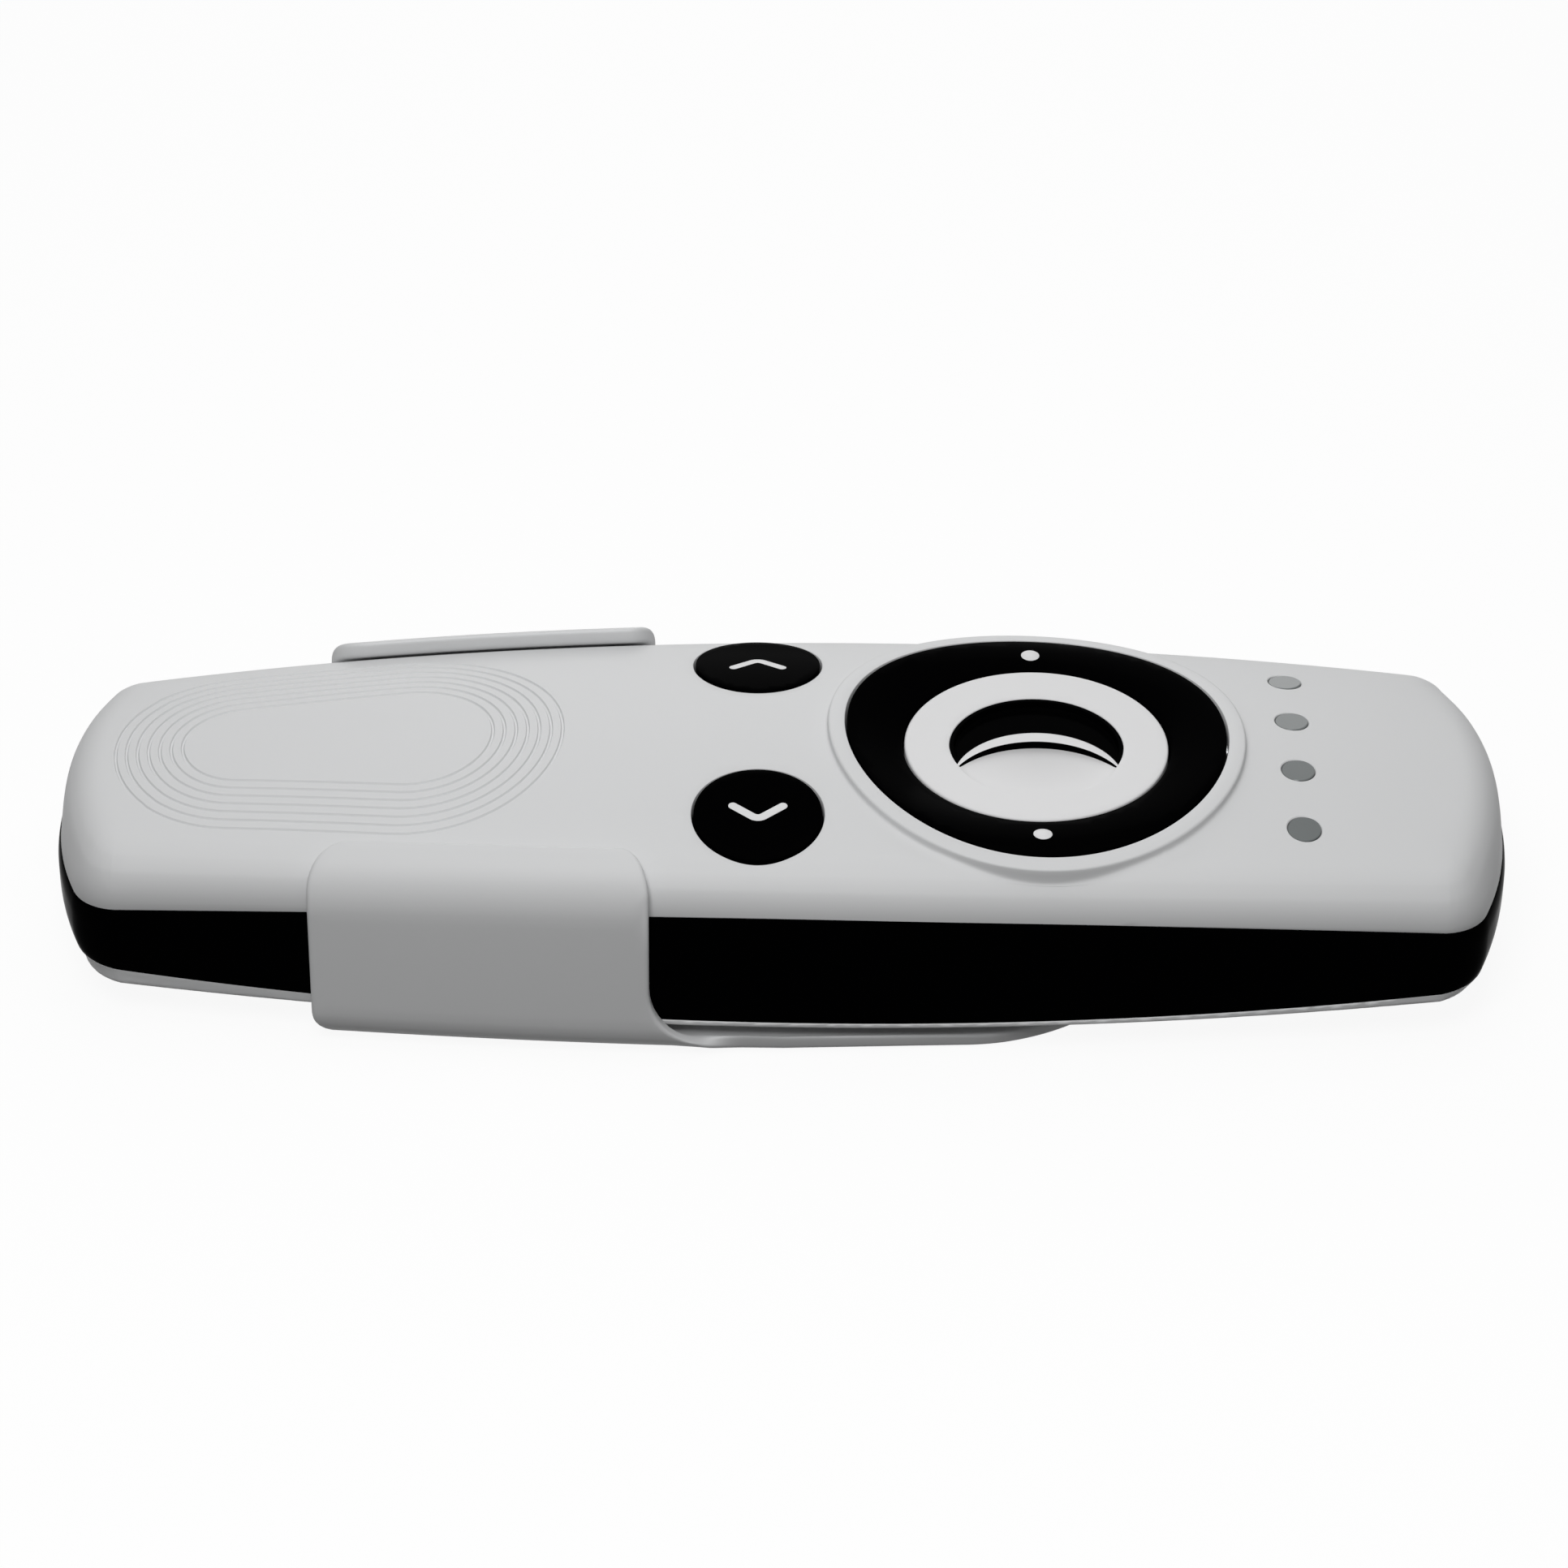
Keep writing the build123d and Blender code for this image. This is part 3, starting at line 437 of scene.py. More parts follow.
class Skin:
    """Points and faces of one piece, built loop by loop."""

    def __init__(self):
        self.points, self.faces, self.marks = [], [], []

    def loop(self, points):
        """Adds points and gives back their numbers."""
        start = len(self.points)
        self.points.extend(tuple(float(v) for v in point) for point in points)
        return list(range(start, len(self.points)))

    def ring(self, flat, height):
        """Adds points seen from above, at a height each or one for all."""
        return self.loop(raised(flat, height))

    def strip(self, first, second, closed=True, mark=0):
        """Joins two loops of the same length."""
        count = len(first)
        for step in range(count if closed else count - 1):
            after = (step + 1) % count
            self.add((first[step], first[after], second[after], second[step]), mark)

    def join(self, loops, around=False):
        """Joins each loop to the next, and the last to the first where they go all round."""
        following = loops[1:] + loops[:1] if around else loops[1:]
        for first, second in zip(loops, following):
            self.strip(first, second)

    def plan(self, loop):
        """A loop's points, seen from above."""
        return np.array([self.points[number][:2] for number in loop])

    def add(self, face, mark=0):
        """Adds one face."""
        self.faces.append(face)
        self.marks.append(mark)

    def fan(self, loop, middle, mark=0):
        """Closes a loop towards a middle point."""
        centre = self.loop([middle])[0]
        for step, number in enumerate(loop):
            self.add((number, loop[(step + 1) % len(loop)], centre), mark)

    def fill(self, loops, loose, keep, flat=None, mark=0):
        """Triangulates between loops and loose points where keep says so."""
        numbers = [number for loop in loops for number in loop] + list(loose)
        places = [(flat or self.points)[number][:2] for number in numbers]
        edges, start = [], 0
        for loop in loops:
            count = len(loop)
            edges += [(start + step, start + (step + 1) % count) for step in range(count)]
            start += count
        scale, tolerance = 1 / MM, 1e-6
        places = [Vector(place) * scale for place in places]
        spots, _, triangles, origins = delaunay_2d_cdt(places, edges, [], 0, tolerance, True)[:4]
        spots = np.array([tuple(spot) for spot in spots]) / scale
        source = [numbers[origin[0]] if origin else None for origin in origins]
        triangles = np.array(triangles)
        middles = spots[triangles].mean(axis=1)
        for triangle, wanted in zip(triangles, keep(middles[:, 0], middles[:, 1])):
            corners = tuple(source[k] for k in triangle)
            if wanted and None not in corners:
                self.add(corners, mark)

    def draw_in(self, form):
        """Moves every point onto the remote's bowed ends."""
        self.points = [tuple(place) for place in form.drawn_in(np.array(self.points))]

    def lathe(self, middle, profile, count=96):
        """Turns radii and heights about an upright axis; a radius of 0 closes the end."""
        before = None
        for radius, height in profile:
            if radius == 0:
                self.fan(before, (*middle, height))
                before = None
                continue
            ring = self.ring(np.array(middle) + radius * circle(count), height)
            if before:
                self.strip(before, ring)
            before = ring
        return before

    def piece(self, name, body, finish, *others):
        """Makes the object, riding on a body, in a finish given by name and the others after it."""
        mesh = bpy.data.meshes.new(name)
        mesh.from_pydata(self.points, [], self.faces)
        for material in (finish_named(finish), *others):
            mesh.materials.append(material)
        mesh.polygons.foreach_set("material_index", self.marks)
        return settle(name, mesh, body, SLOTS[finish])


def added(name, data):
    """A new object in the scene."""
    made = bpy.data.objects.new(name, data)
    bpy.context.scene.collection.objects.link(made)
    return made


def settle(name, mesh, body, slot, sharp=38.0):
    """Cleans a mesh, shades it and gives its object to a body."""
    form = bmesh.new()
    form.from_mesh(mesh)
    bmesh.ops.remove_doubles(form, verts=form.verts, dist=0.002 * MM)
    bmesh.ops.dissolve_degenerate(form, edges=form.edges, dist=0.0005 * MM)
    bmesh.ops.recalc_face_normals(form, faces=form.faces)
    form.to_mesh(mesh)
    form.free()
    mesh.shade_smooth()
    mesh.set_sharp_from_angle(angle=math.radians(sharp))
    made = added(name, mesh)
    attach(made, body)
    return made


def dressed(node, finish, sharp=30.0, form_of=None):
    """A merged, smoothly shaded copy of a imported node, which stands for it, in a finish given by name."""
    source = frame["nodes"][node]
    mesh = source.data.copy()
    mesh.name = node + "_form"
    mesh.materials.clear()
    mesh.materials.append(finish_named(finish))
    form = bmesh.new()
    form.from_mesh(mesh)
    bmesh.ops.remove_doubles(form, verts=form.verts, dist=0.001 * MM)
    bmesh.ops.dissolve_limit(
        form, angle_limit=math.radians(0.3), use_dissolve_boundaries=False,
        verts=form.verts, edges=form.edges,
    )
    if form_of:
        split_long(form, longest=1.5 * MM)
        places = form_of.drawn_in(np.array([tuple(corner.co) for corner in form.verts]))
        for corner, place in zip(form.verts, places):
            corner.co = place
    bmesh.ops.dissolve_degenerate(form, dist=0.01 * MM, edges=form.edges)
    form.to_mesh(mesh)
    form.free()
    mesh.validate()
    mesh.shade_smooth()
    mesh.set_sharp_from_angle(angle=math.radians(sharp))
    made = added(node + "_dressed", mesh)
    even = made.modifiers.new("even_shading", "WEIGHTED_NORMAL")
    even.keep_sharp, even.weight = True, 100
    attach(made, source["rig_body"])
    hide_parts(node)
    "chip_black" if node == "controller_chip" else SLOTS[finish]
    return made


def split_long(form, longest):
    """Divides a mesh until no edge is longer than a given length."""
    for _ in range(8):
        bmesh.ops.triangulate(form, faces=form.faces)
        long_edges = [edge for edge in form.edges if edge.calc_length() > longest]
        if not long_edges:
            break
        bmesh.ops.subdivide_edges(form, edges=long_edges, cuts=1)


def circle(count):
    """Unit vectors all the way round."""
    return unit_vectors(np.arange(count) * math.tau / count)


def raised(flat, height):
    """Plan points with a height each, or one for all."""
    return np.column_stack([flat, np.broadcast_to(height, len(flat))])


def softened(radius, soft):
    """Radii and depths of a rounded edge, from face to wall.

    The soft size is above 0 round a hole and below 0 round a disc.
    """
    depth = abs(soft)
    return [(radius + soft, 0.0), (radius + ROUND_MIDDLE * soft, ROUND_MIDDLE * depth), (radius, depth)]


def clearance(points, x, y):
    """How far places lie from the nearest of some points."""
    return np.min(np.hypot(x[:, None] - points[:, 0], y[:, None] - points[:, 1]), axis=1)


def within(polygon, x, y):
    """Which points lie inside a closed polygon."""
    inside = np.zeros(np.shape(x), dtype=bool)
    for (x_from, y_from), (x_to, y_to) in zip(polygon, np.roll(polygon, -1, axis=0)):
        if y_from != y_to:
            crossing = x_from + (y - y_from) / (y_to - y_from) * (x_to - x_from)
            inside ^= ((y_from > y) != (y_to > y)) & (x < crossing)
    return inside


def grid_points(low, high, step):
    """Staggered points over a rectangle."""
    rows = np.arange(low[1], high[1], step * math.sqrt(3) / 2)
    columns = np.arange(low[0], high[0], step)
    x = np.concatenate([columns + (row % 2) * step / 2 for row in range(len(rows))])
    return x, np.repeat(rows, len(columns))


def form_now():
    """The remote's form from the scene's sizes."""
    scene = bpy.context.scene
    return RemoteForm(scene.remote_body, scene.remote_dial)


def key_frame(way):
    """Place and tilt of an arrow key on the crown."""
    keys, body = bpy.context.scene.remote_keys, bpy.context.scene.remote_body
    place = Vector((keys.key_x, way * keys.key_y, float(form_now().crown(keys.key_x, keys.key_y))))
    tilt = math.atan2(keys.key_y, math.sqrt(body.crown_radius**2 - keys.key_y**2))
    return Matrix.Translation(place) @ Matrix.Rotation(-way * tilt, 4, "X")


def window_places():
    """Middles of the light windows."""
    keys = bpy.context.scene.remote_keys
    middle = (keys.window_count - 1) / 2
    return [(keys.window_x, (step - middle) * keys.window_pitch) for step in range(keys.window_count)]


# Node graphs


class Signal:
    """A number in a node tree, so that its maths can be written as Python."""

    def __init__(self, graph, socket):
        self.graph, self.socket = graph, socket

    def maths(self, operation, first, second):
        """One Math node."""
        return self.graph.node("ShaderNodeMath", {"operation": operation}, {0: first, 1: second})

    def out(self, name):
        """Another output of the same node."""
        return Signal(self.graph, self.socket.node.outputs[name])

    def __add__(self, other):
        return self.maths("ADD", self, other)

    def __sub__(self, other):
        return self.maths("SUBTRACT", self, other)

    def __rsub__(self, other):
        return self.maths("SUBTRACT", other, self)

    def __mul__(self, other):
        return self.maths("MULTIPLY", self, other)

    def __truediv__(self, other):
        return self.maths("DIVIDE", self, other)

    def __pow__(self, other):
        return self.maths("POWER", self, other)

    __radd__ = __add__
    __rmul__ = __mul__


class Graph:
    """A node tree being put together."""

    def __init__(self, tree):
        self.tree = tree
        tree.nodes.clear()

    def node(self, kind, settings=None, sockets=None, output=0):
        """Adds a node: its settings first, then the values or links of its sockets."""
        made = self.tree.nodes.new(kind)
        for key, value in (settings or {}).items():
            setattr(made, key, value)
        for key, value in (sockets or {}).items():
            for part in value if isinstance(value, list) else [value]:
                if isinstance(part, Signal):
                    self.tree.links.new(part.socket, made.inputs[key])
                else:
                    made.inputs[key].default_value = part
        return Signal(self, made.outputs[output]) if made.outputs else None

    def seen(self):
        """1 where the camera looks, straight, by a gloss or through glass, and 0 for other light."""
        path = self.node("ShaderNodeLightPath")
        return path + path.out("Is Glossy Ray") + path.out("Is Transmission Ray")


class PartTree(Graph):
    """A geometry node tree with named inputs for its sizes."""

    def __init__(self, name, sizes):
        super().__init__(bpy.data.node_groups.new(name, "GeometryNodeTree"))
        face = self.tree.interface
        face.new_socket("Geometry", in_out="OUTPUT", socket_type="NodeSocketGeometry")
        face.new_socket("Geometry", in_out="INPUT", socket_type="NodeSocketGeometry")
        self.values = {}
        for size, value in sizes.items():
            kind = "NodeSocketInt" if isinstance(value, int) else "NodeSocketFloat"
            self.values[face.new_socket(size, in_out="INPUT", socket_type=kind).identifier] = value
        start = self.tree.nodes.new("NodeGroupInput")
        self.given = {socket.name: Signal(self, socket) for socket in start.outputs}

    def vector(self, x, y, z):
        """Three numbers as one vector."""
        return self.node("ShaderNodeCombineXYZ", None, {0: x, 1: y, 2: z})

    def disc(self, radius, depth, soft, count=40):
        """A short post under the origin with a softened top edge."""
        size = {"Vertices": count, "Radius": radius, "Depth": depth - soft}
        post = self.node("GeometryNodeMeshCylinder", None, size)
        lift = {"Mesh": post, "Selection": post.out("Top"), "Offset Scale": soft, "Individual": False}
        cap = self.node("GeometryNodeExtrudeMesh", None, lift)
        narrow = {"Geometry": cap, "Selection": cap.out("Top"), "Scale": 1 - soft / radius}
        done = self.node("GeometryNodeScaleElements", None, narrow)
        return self.moved(done, self.vector(0, 0, (depth + soft) * -0.5))

    def moved(self, geometry, by):
        """Geometry moved by a vector."""
        return self.node("GeometryNodeTransform", None, {"Geometry": geometry, "Translation": by})

    def mesh(self, name, geometry, finish, points=()):
        """Ends the tree, runs it over points and gives back a plain mesh."""
        real = self.node("GeometryNodeRealizeInstances", None, {"Geometry": geometry})
        painted = self.node("GeometryNodeSetMaterial", None, {"Geometry": real, "Material": finish})
        self.node("NodeGroupOutput", None, {"Geometry": painted})
        start = bpy.data.meshes.new(name)
        start.from_pydata(points, [], [])
        carrier = added(name, start)
        modifier = carrier.modifiers.new(name, "NODES")
        modifier.node_group = self.tree
        for identifier, value in self.values.items():
            modifier[identifier] = value
        seen = carrier.evaluated_get(bpy.context.evaluated_depsgraph_get())
        result = bpy.data.meshes.new_from_object(seen)
        bpy.data.objects.remove(carrier)
        return result


# Finishes


class Finish(Graph):
    """A material being put together."""

    def __init__(self, name):
        self.material = bpy.data.materials.new(name)
        self.material.use_nodes = True
        super().__init__(self.material.node_tree)

    def place(self):
        """The place on the piece."""
        return self.node("ShaderNodeTexCoord").out("Object")

    def noise(self, scale, detail):
        """Noise over the piece, about 0 to 1."""
        sockets = {"Vector": self.place(), "Scale": scale, "Detail": detail}
        return self.node("ShaderNodeTexNoise", None, sockets)

    def bump(self, strength, depth, height):
        """The normal of a fine relief."""
        return self.node("ShaderNodeBump", None, {"Strength": strength, "Distance": depth, "Height": height})

    def shades(self, factor, colour_from, colour_to):
        """A colour between two; the Mix node's colour sockets are 6, 7 and, for the result, 2."""
        ends = {"Factor": factor, 6: (*colour_from, 1), 7: (*colour_to, 1)}
        return self.node("ShaderNodeMix", {"data_type": "RGBA"}, ends, 2)

    def close(self, sockets):
        """Ends in a principled surface."""
        surface = self.node("ShaderNodeBsdfPrincipled", None, sockets)
        self.node("ShaderNodeOutputMaterial", None, {"Surface": surface})
        return self.material


def tinted(shade, factor):
    """A colour made lighter or darker."""
    return tuple(min(1.0, part * factor) for part in shade)


def moulded(name, shade, roughness=0.5, grain=0.05, specular=0.35):
    """Plastic with the fine, even texture of a spark-eroded mould."""
    finish = Finish(name)
    cloud = finish.noise(scale=38.0, detail=3.0)
    speck = finish.noise(GRAIN_SCALE, detail=1.0)
    return finish.close({
        "Base Color": finish.shades(cloud, tinted(shade, 0.985), tinted(shade, 1.015)),
        "Roughness": roughness + 0.06 * (speck - 0.5) + 0.05 * (cloud - 0.5),
        "Specular IOR Level": specular,
        "Normal": finish.bump(grain, GRAIN_DEPTH, speck),
    })


def polished(name, shade, roughness=0.16, specular=0.001):
    """Gloss plastic, with the faintest unevenness in its polish."""
    finish = Finish(name)
    cloud = finish.noise(scale=55.0, detail=2.0)
    ripple = finish.noise(scale=420.0, detail=1.0)
    return finish.close({
        "Base Color": finish.shades(cloud, tinted(shade, 0.9), tinted(shade, 1.1)),
        "Roughness": roughness + 0.05 * (cloud - 0.5),
        "Specular IOR Level": specular,
        "Normal": finish.bump(0.02, POLISH_DEPTH, ripple),
    })


def metal(name, shade, roughness=0.3):
    """Plated steel with fine drawing marks."""
    finish = Finish(name)
    marks = finish.noise(scale=900.0, detail=3.0)
    return finish.close({
        "Base Color": finish.shades(marks, tinted(shade, 0.93), tinted(shade, 1.05)),
        "Metallic": 1.0,
        "Roughness": roughness + 0.16 * (marks - 0.5),
        "Normal": finish.bump(0.08, POLISH_DEPTH, marks),
    })


def finish_named(kind):
    """A finish that an operator asks for, made once."""
    name = kind + "_finish"
    if name in bpy.data.materials:
        return bpy.data.materials[name]
    finishes = bpy.context.scene.remote_finishes
    makers = {
        "shell": lambda: moulded(name, finishes.shell),
        "key_cap": lambda: moulded(name, finishes.key_cap, roughness=0.48),
        "black": lambda: polished(name, finishes.black),
        "window": lambda: polished(name, finishes.window, roughness=0.2, specular=0.25),
        "silicone": lambda: moulded(name, (0.33, 0.35, 0.37), roughness=0.62, grain=0.1, specular=0.3),
        "inner_plastic": lambda: moulded(name, (0.02, 0.02, 0.022), grain=0.12),
        "board": lambda: polished(name, (0.008, 0.075, 0.03), roughness=0.3, specular=0.4),
        "steel": lambda: metal(name, (0.56, 0.57, 0.58)),
        "lamp": lambda: moulded(name, (0.78, 0.76, 0.66), roughness=0.4),
        "cell": lambda: polished(name, (0.05, 0.06, 0.08), roughness=0.32, specular=0.4),
    }
    return makers[kind]()


# Pieces


class PieceMaker:
    """What every operator here shares."""

    bl_options = {"REGISTER", "UNDO"}

    def execute(self, context):
        """Makes the piece, and raises an error if it can't."""
        self.make(context.scene)
        return {"FINISHED"}


def rolled_loops(form, roll):
    """Loops of the shoulder's roll, from the side to the top."""
    base, normal = form.outline()
    middle = base - form.body.shoulder_radius * normal
    height = form.crown(middle[:, 0], middle[:, 1], -form.body.shoulder_radius)
    out = raised(normal, 0.0)
    up = form.crown_facing(middle[:, 0], middle[:, 1])
    angle = np.arccos(np.sum(out * up, axis=1))[:, None]
    loops = []
    for step in range(ROLL_STEPS + 1):
        part = step / ROLL_STEPS
        facing = (np.sin((1 - part) * angle) * out + np.sin(part * angle) * up) / np.sin(angle)
        loops.append(raised(middle, height) + roll * facing)
    return loops


def tilted_circle(frame_of_key, radius, depth, count=96):
    """A circle about a key's axis, under its top."""
    ring = np.column_stack([radius * circle(count), np.full(count, -depth), np.ones(count)])
    return (ring @ np.array(frame_of_key).T)[:, :3]


class REMOTE_OT_cover(PieceMaker, bpy.types.Operator):
    """Make the crowned cover with its boss, openings and fine grooves"""

    bl_idname = "remote.cover"
    bl_label = "Cover"

    def make(self, scene):
        body, dial, keys = scene.remote_body, scene.remote_dial, scene.remote_keys
        form, skin = form_now(), Skin()
        base, normal = form.outline()
        seam = form.seam(base[:, 0])
        steps = [(body.wall, 0.0), *softened(0.0, body.edge)]
        loops = [skin.ring(base - inset * normal, seam + rise) for inset, rise in steps]
        rolled = rolled_loops(form, body.shoulder_radius)
        loops += [skin.loop(points) for points in rolled[:RING_STEPS]]
        skin.join(loops)
        inner = [skin.ring(base - body.wall * normal, seam)]
        rolled_inside = rolled_loops(form, body.shoulder_radius - body.wall)
        inner += [skin.loop(points) for points in rolled_inside[:RING_STEPS]]
        skin.join(inner)
        rims, backs, tests = zip(*self.openings(form, skin, dial, keys))
        grooves, groove_test = self.grooves(form, skin, body)
        mesh_step, hole_margin, edge_share = 1.9 * MM, 0.6 * MM, 0.31
        x, y = grid_points((-form.end, -body.half_width), (form.end, body.half_width), mesh_step)
        shoulder = np.concatenate(rolled[RING_STEPS:])
        x, y = np.concatenate([x, shoulder[:, 0]]), np.concatenate([y, shoulder[:, 1]])
        edge = skin.plan(loops[-1])
        kept = within(edge, x, y) & ~groove_test(x, y)
        reach = np.min(form.reach(np.stack([x, y], axis=1)), axis=1)
        on_grid = np.arange(len(x)) < len(x) - len(shoulder)
        kept &= reach > np.where(on_grid, 1.0, edge_share) * body.shoulder_radius
        for test in tests:
            kept &= ~test(x, y, hole_margin)
        loose = skin.loop(np.column_stack([x[kept], y[kept], form.surface(x[kept], y[kept])]))

        def keep(x, y):
            wanted = within(edge, x, y)
            for test in tests:
                wanted &= ~test(x, y, 0.0)
            return wanted

        skin.fill([loops[-1], *rims, *grooves], loose, keep)
        inner_edge = skin.plan(inner[-1])
        skin.fill([inner[-1], *backs], [], lambda x, y: keep(x, y) & within(inner_edge, x, y))
        self.boss(form, skin, body, dial)
        skin.draw_in(form)
        made = skin.piece("cover", "remote", "shell")
        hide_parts("top_shell")

    def openings(self, form, skin, dial, keys):
        """The holes' edges, walls and backs, and tests of what lies in them."""
        found = []
        wall, dial_room = form.body.wall, 1.4 * MM
        key_soft, window_gap, window_soft = 0.22 * MM, 0.04 * MM, 0.1 * MM

        def hole(loops_of, middle, width, height):
            rings = [skin.loop(points) for points in loops_of]
            skin.join(rings)

            def test(x, y, margin):
                along, across = (x - middle[0]) / (width + margin), (y - middle[1]) / (height + margin)
                return along**2 + across**2 < 1

            found.append((rings[0], rings[-1], test))

        opening = dial.ring_radius + dial_room
        ring = np.array([dial.place, 0]) + opening * circle(160)
        top = form.surface(ring[:, 0], ring[:, 1])
        hole([raised(ring, top), raised(ring, top - wall)], (dial.place, 0), opening, opening)
        for way in (-1, 1):
            place = key_frame(way)
            radius = keys.key_radius + keys.key_gap
            rings = []
            for reach, depth in [*softened(radius, key_soft), (radius, wall)]:
                points = tilted_circle(place, reach, 0.0)
                drop = tilted_circle(place, reach, depth) - points
                points[:, 2] = form.surface(points[:, 0], points[:, 1])
                rings.append(points + drop)
            width = radius + key_soft
            hole(rings, (keys.key_x, way * keys.key_y), width, width * place.to_3x3()[1][1])
        for x, y in window_places():
            radius = keys.window_radius + window_gap
            width = radius + window_soft
            rings = []
            for reach, depth in ((width, 0.0), (radius, window_soft), (radius, wall)):
                points = np.array([x, y]) + reach * circle(40)
                rings.append(raised(points, form.surface(points[:, 0], points[:, 1]) - depth))
            hole(rings, (x, y), width, width)
        return found

    def grooves(self, form, skin, body):
        """The racetrack grooves as loops, and a test of what lies among them."""
        middles, radii, normals = form.track()
        floor_share, margin = 0.22, 0.9 * MM
        loops = []
        for step in range(body.line_count):
            for share, depth in ((-0.5, 0.0), (-floor_share, 1.0), (floor_share, 1.0), (0.5, 0.0)):
                inset = step * body.line_pitch + share * body.line_width
                points = middles + (radii - inset)[:, None] * normals
                height = form.crown(points[:, 0], points[:, 1]) - depth * body.line_depth
                loops.append(skin.ring(points, height))
        span = (body.line_count - 1) * body.line_pitch

        def test(x, y):
            depth = form.track_depth(x, y)
            return (depth > -margin) & (depth < span + margin)

        return loops, test

    def boss(self, form, skin, body, dial):
        """The raised collar round the dial, which runs out into the cover."""
        rays, middle, small = circle(240), np.array([dial.place, 0]), 0.05 * MM

        def places(radius):
            return middle + np.reshape(radius, (-1, 1)) * rays

        def low(radius):
            return form.surface(*places(radius).T)

        def high(radius):
            return form.crown(*places(radius).T) + dial.boss_lift

        rim_soft, bore_soft, below_ring, overlap, sunk = 0.3 * MM, 0.2 * MM, 0.9 * MM, 0.4 * MM, 0.5 * MM
        rim = dial.boss_rim + np.zeros(len(rays))
        foot = dial.boss_foot - dial.boss_narrowing * np.abs(rays[:, 1]) ** 5
        slope = (low(foot) - low(foot - small)) / small
        last = np.stack([foot, low(foot)], axis=1)
        first = np.stack([rim + rim_soft, high(rim) - rim_soft], axis=1)
        second = np.stack([rim + rim_soft, last[:, 1] - slope * (foot - rim - rim_soft)], axis=1)
        loops = []
        for t in np.linspace(0, 1, 13):
            shares = (1 - t) ** 2, 2 * dial.boss_crisp * t * (1 - t), t * t
            curve = (shares[0] * last + shares[1] * second + shares[2] * first) / sum(shares)
            loops.append(raised(places(curve[:, 0]), curve[:, 1]))
        for turn in np.radians([30, 60, 90]):
            radius, drop = rim + rim_soft * math.cos(turn), rim_soft * (1 - math.sin(turn))
            loops.append(raised(places(radius), high(rim) - drop))
        bore = dial.ring_radius + dial.ring_gap
        for radius, drop in softened(bore, bore_soft):
            loops.append(raised(places(radius), high(radius) - drop))
        floor = body.top - dial.drop - dial.ring_thickness - below_ring
        outside = places(bore + body.wall)
        loops.append(raised(places(bore), floor))
        loops.append(raised(outside, floor))
        loops.append(raised(outside, form.crown(*outside.T) - body.wall))
        loops.append(raised(places(foot - overlap), low(foot) - sunk))
        skin.join([skin.loop(points) for points in loops], around=True)


class REMOTE_OT_band(PieceMaker, bpy.types.Operator):
    """Make the gloss black band between the shells"""

    bl_idname = "remote.band"
    bl_label = "Side band"

    def make(self, scene):
        body, form, skin = scene.remote_body, form_now(), Skin()
        base, normal = form.outline(1.4)
        high, low = form.seam(base[:, 0]), form.band_foot(base[:, 0])
        soft, part = body.edge, ROUND_MIDDLE * body.edge
        steps = [(body.wall, high), (soft, high), (part, high - part)]
        steps += [(0.0, high - soft + share * (low - high + 2 * soft)) for share in np.linspace(0, 1, 13)]
        steps += [(part, low + part), (soft, low), (body.wall, low)]
        loops = [skin.ring(base - inset * normal, height) for inset, height in steps]
        skin.join(loops, around=True)
        skin.draw_in(form)
        made = skin.piece("band", "remote", "black")
        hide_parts("side_band")


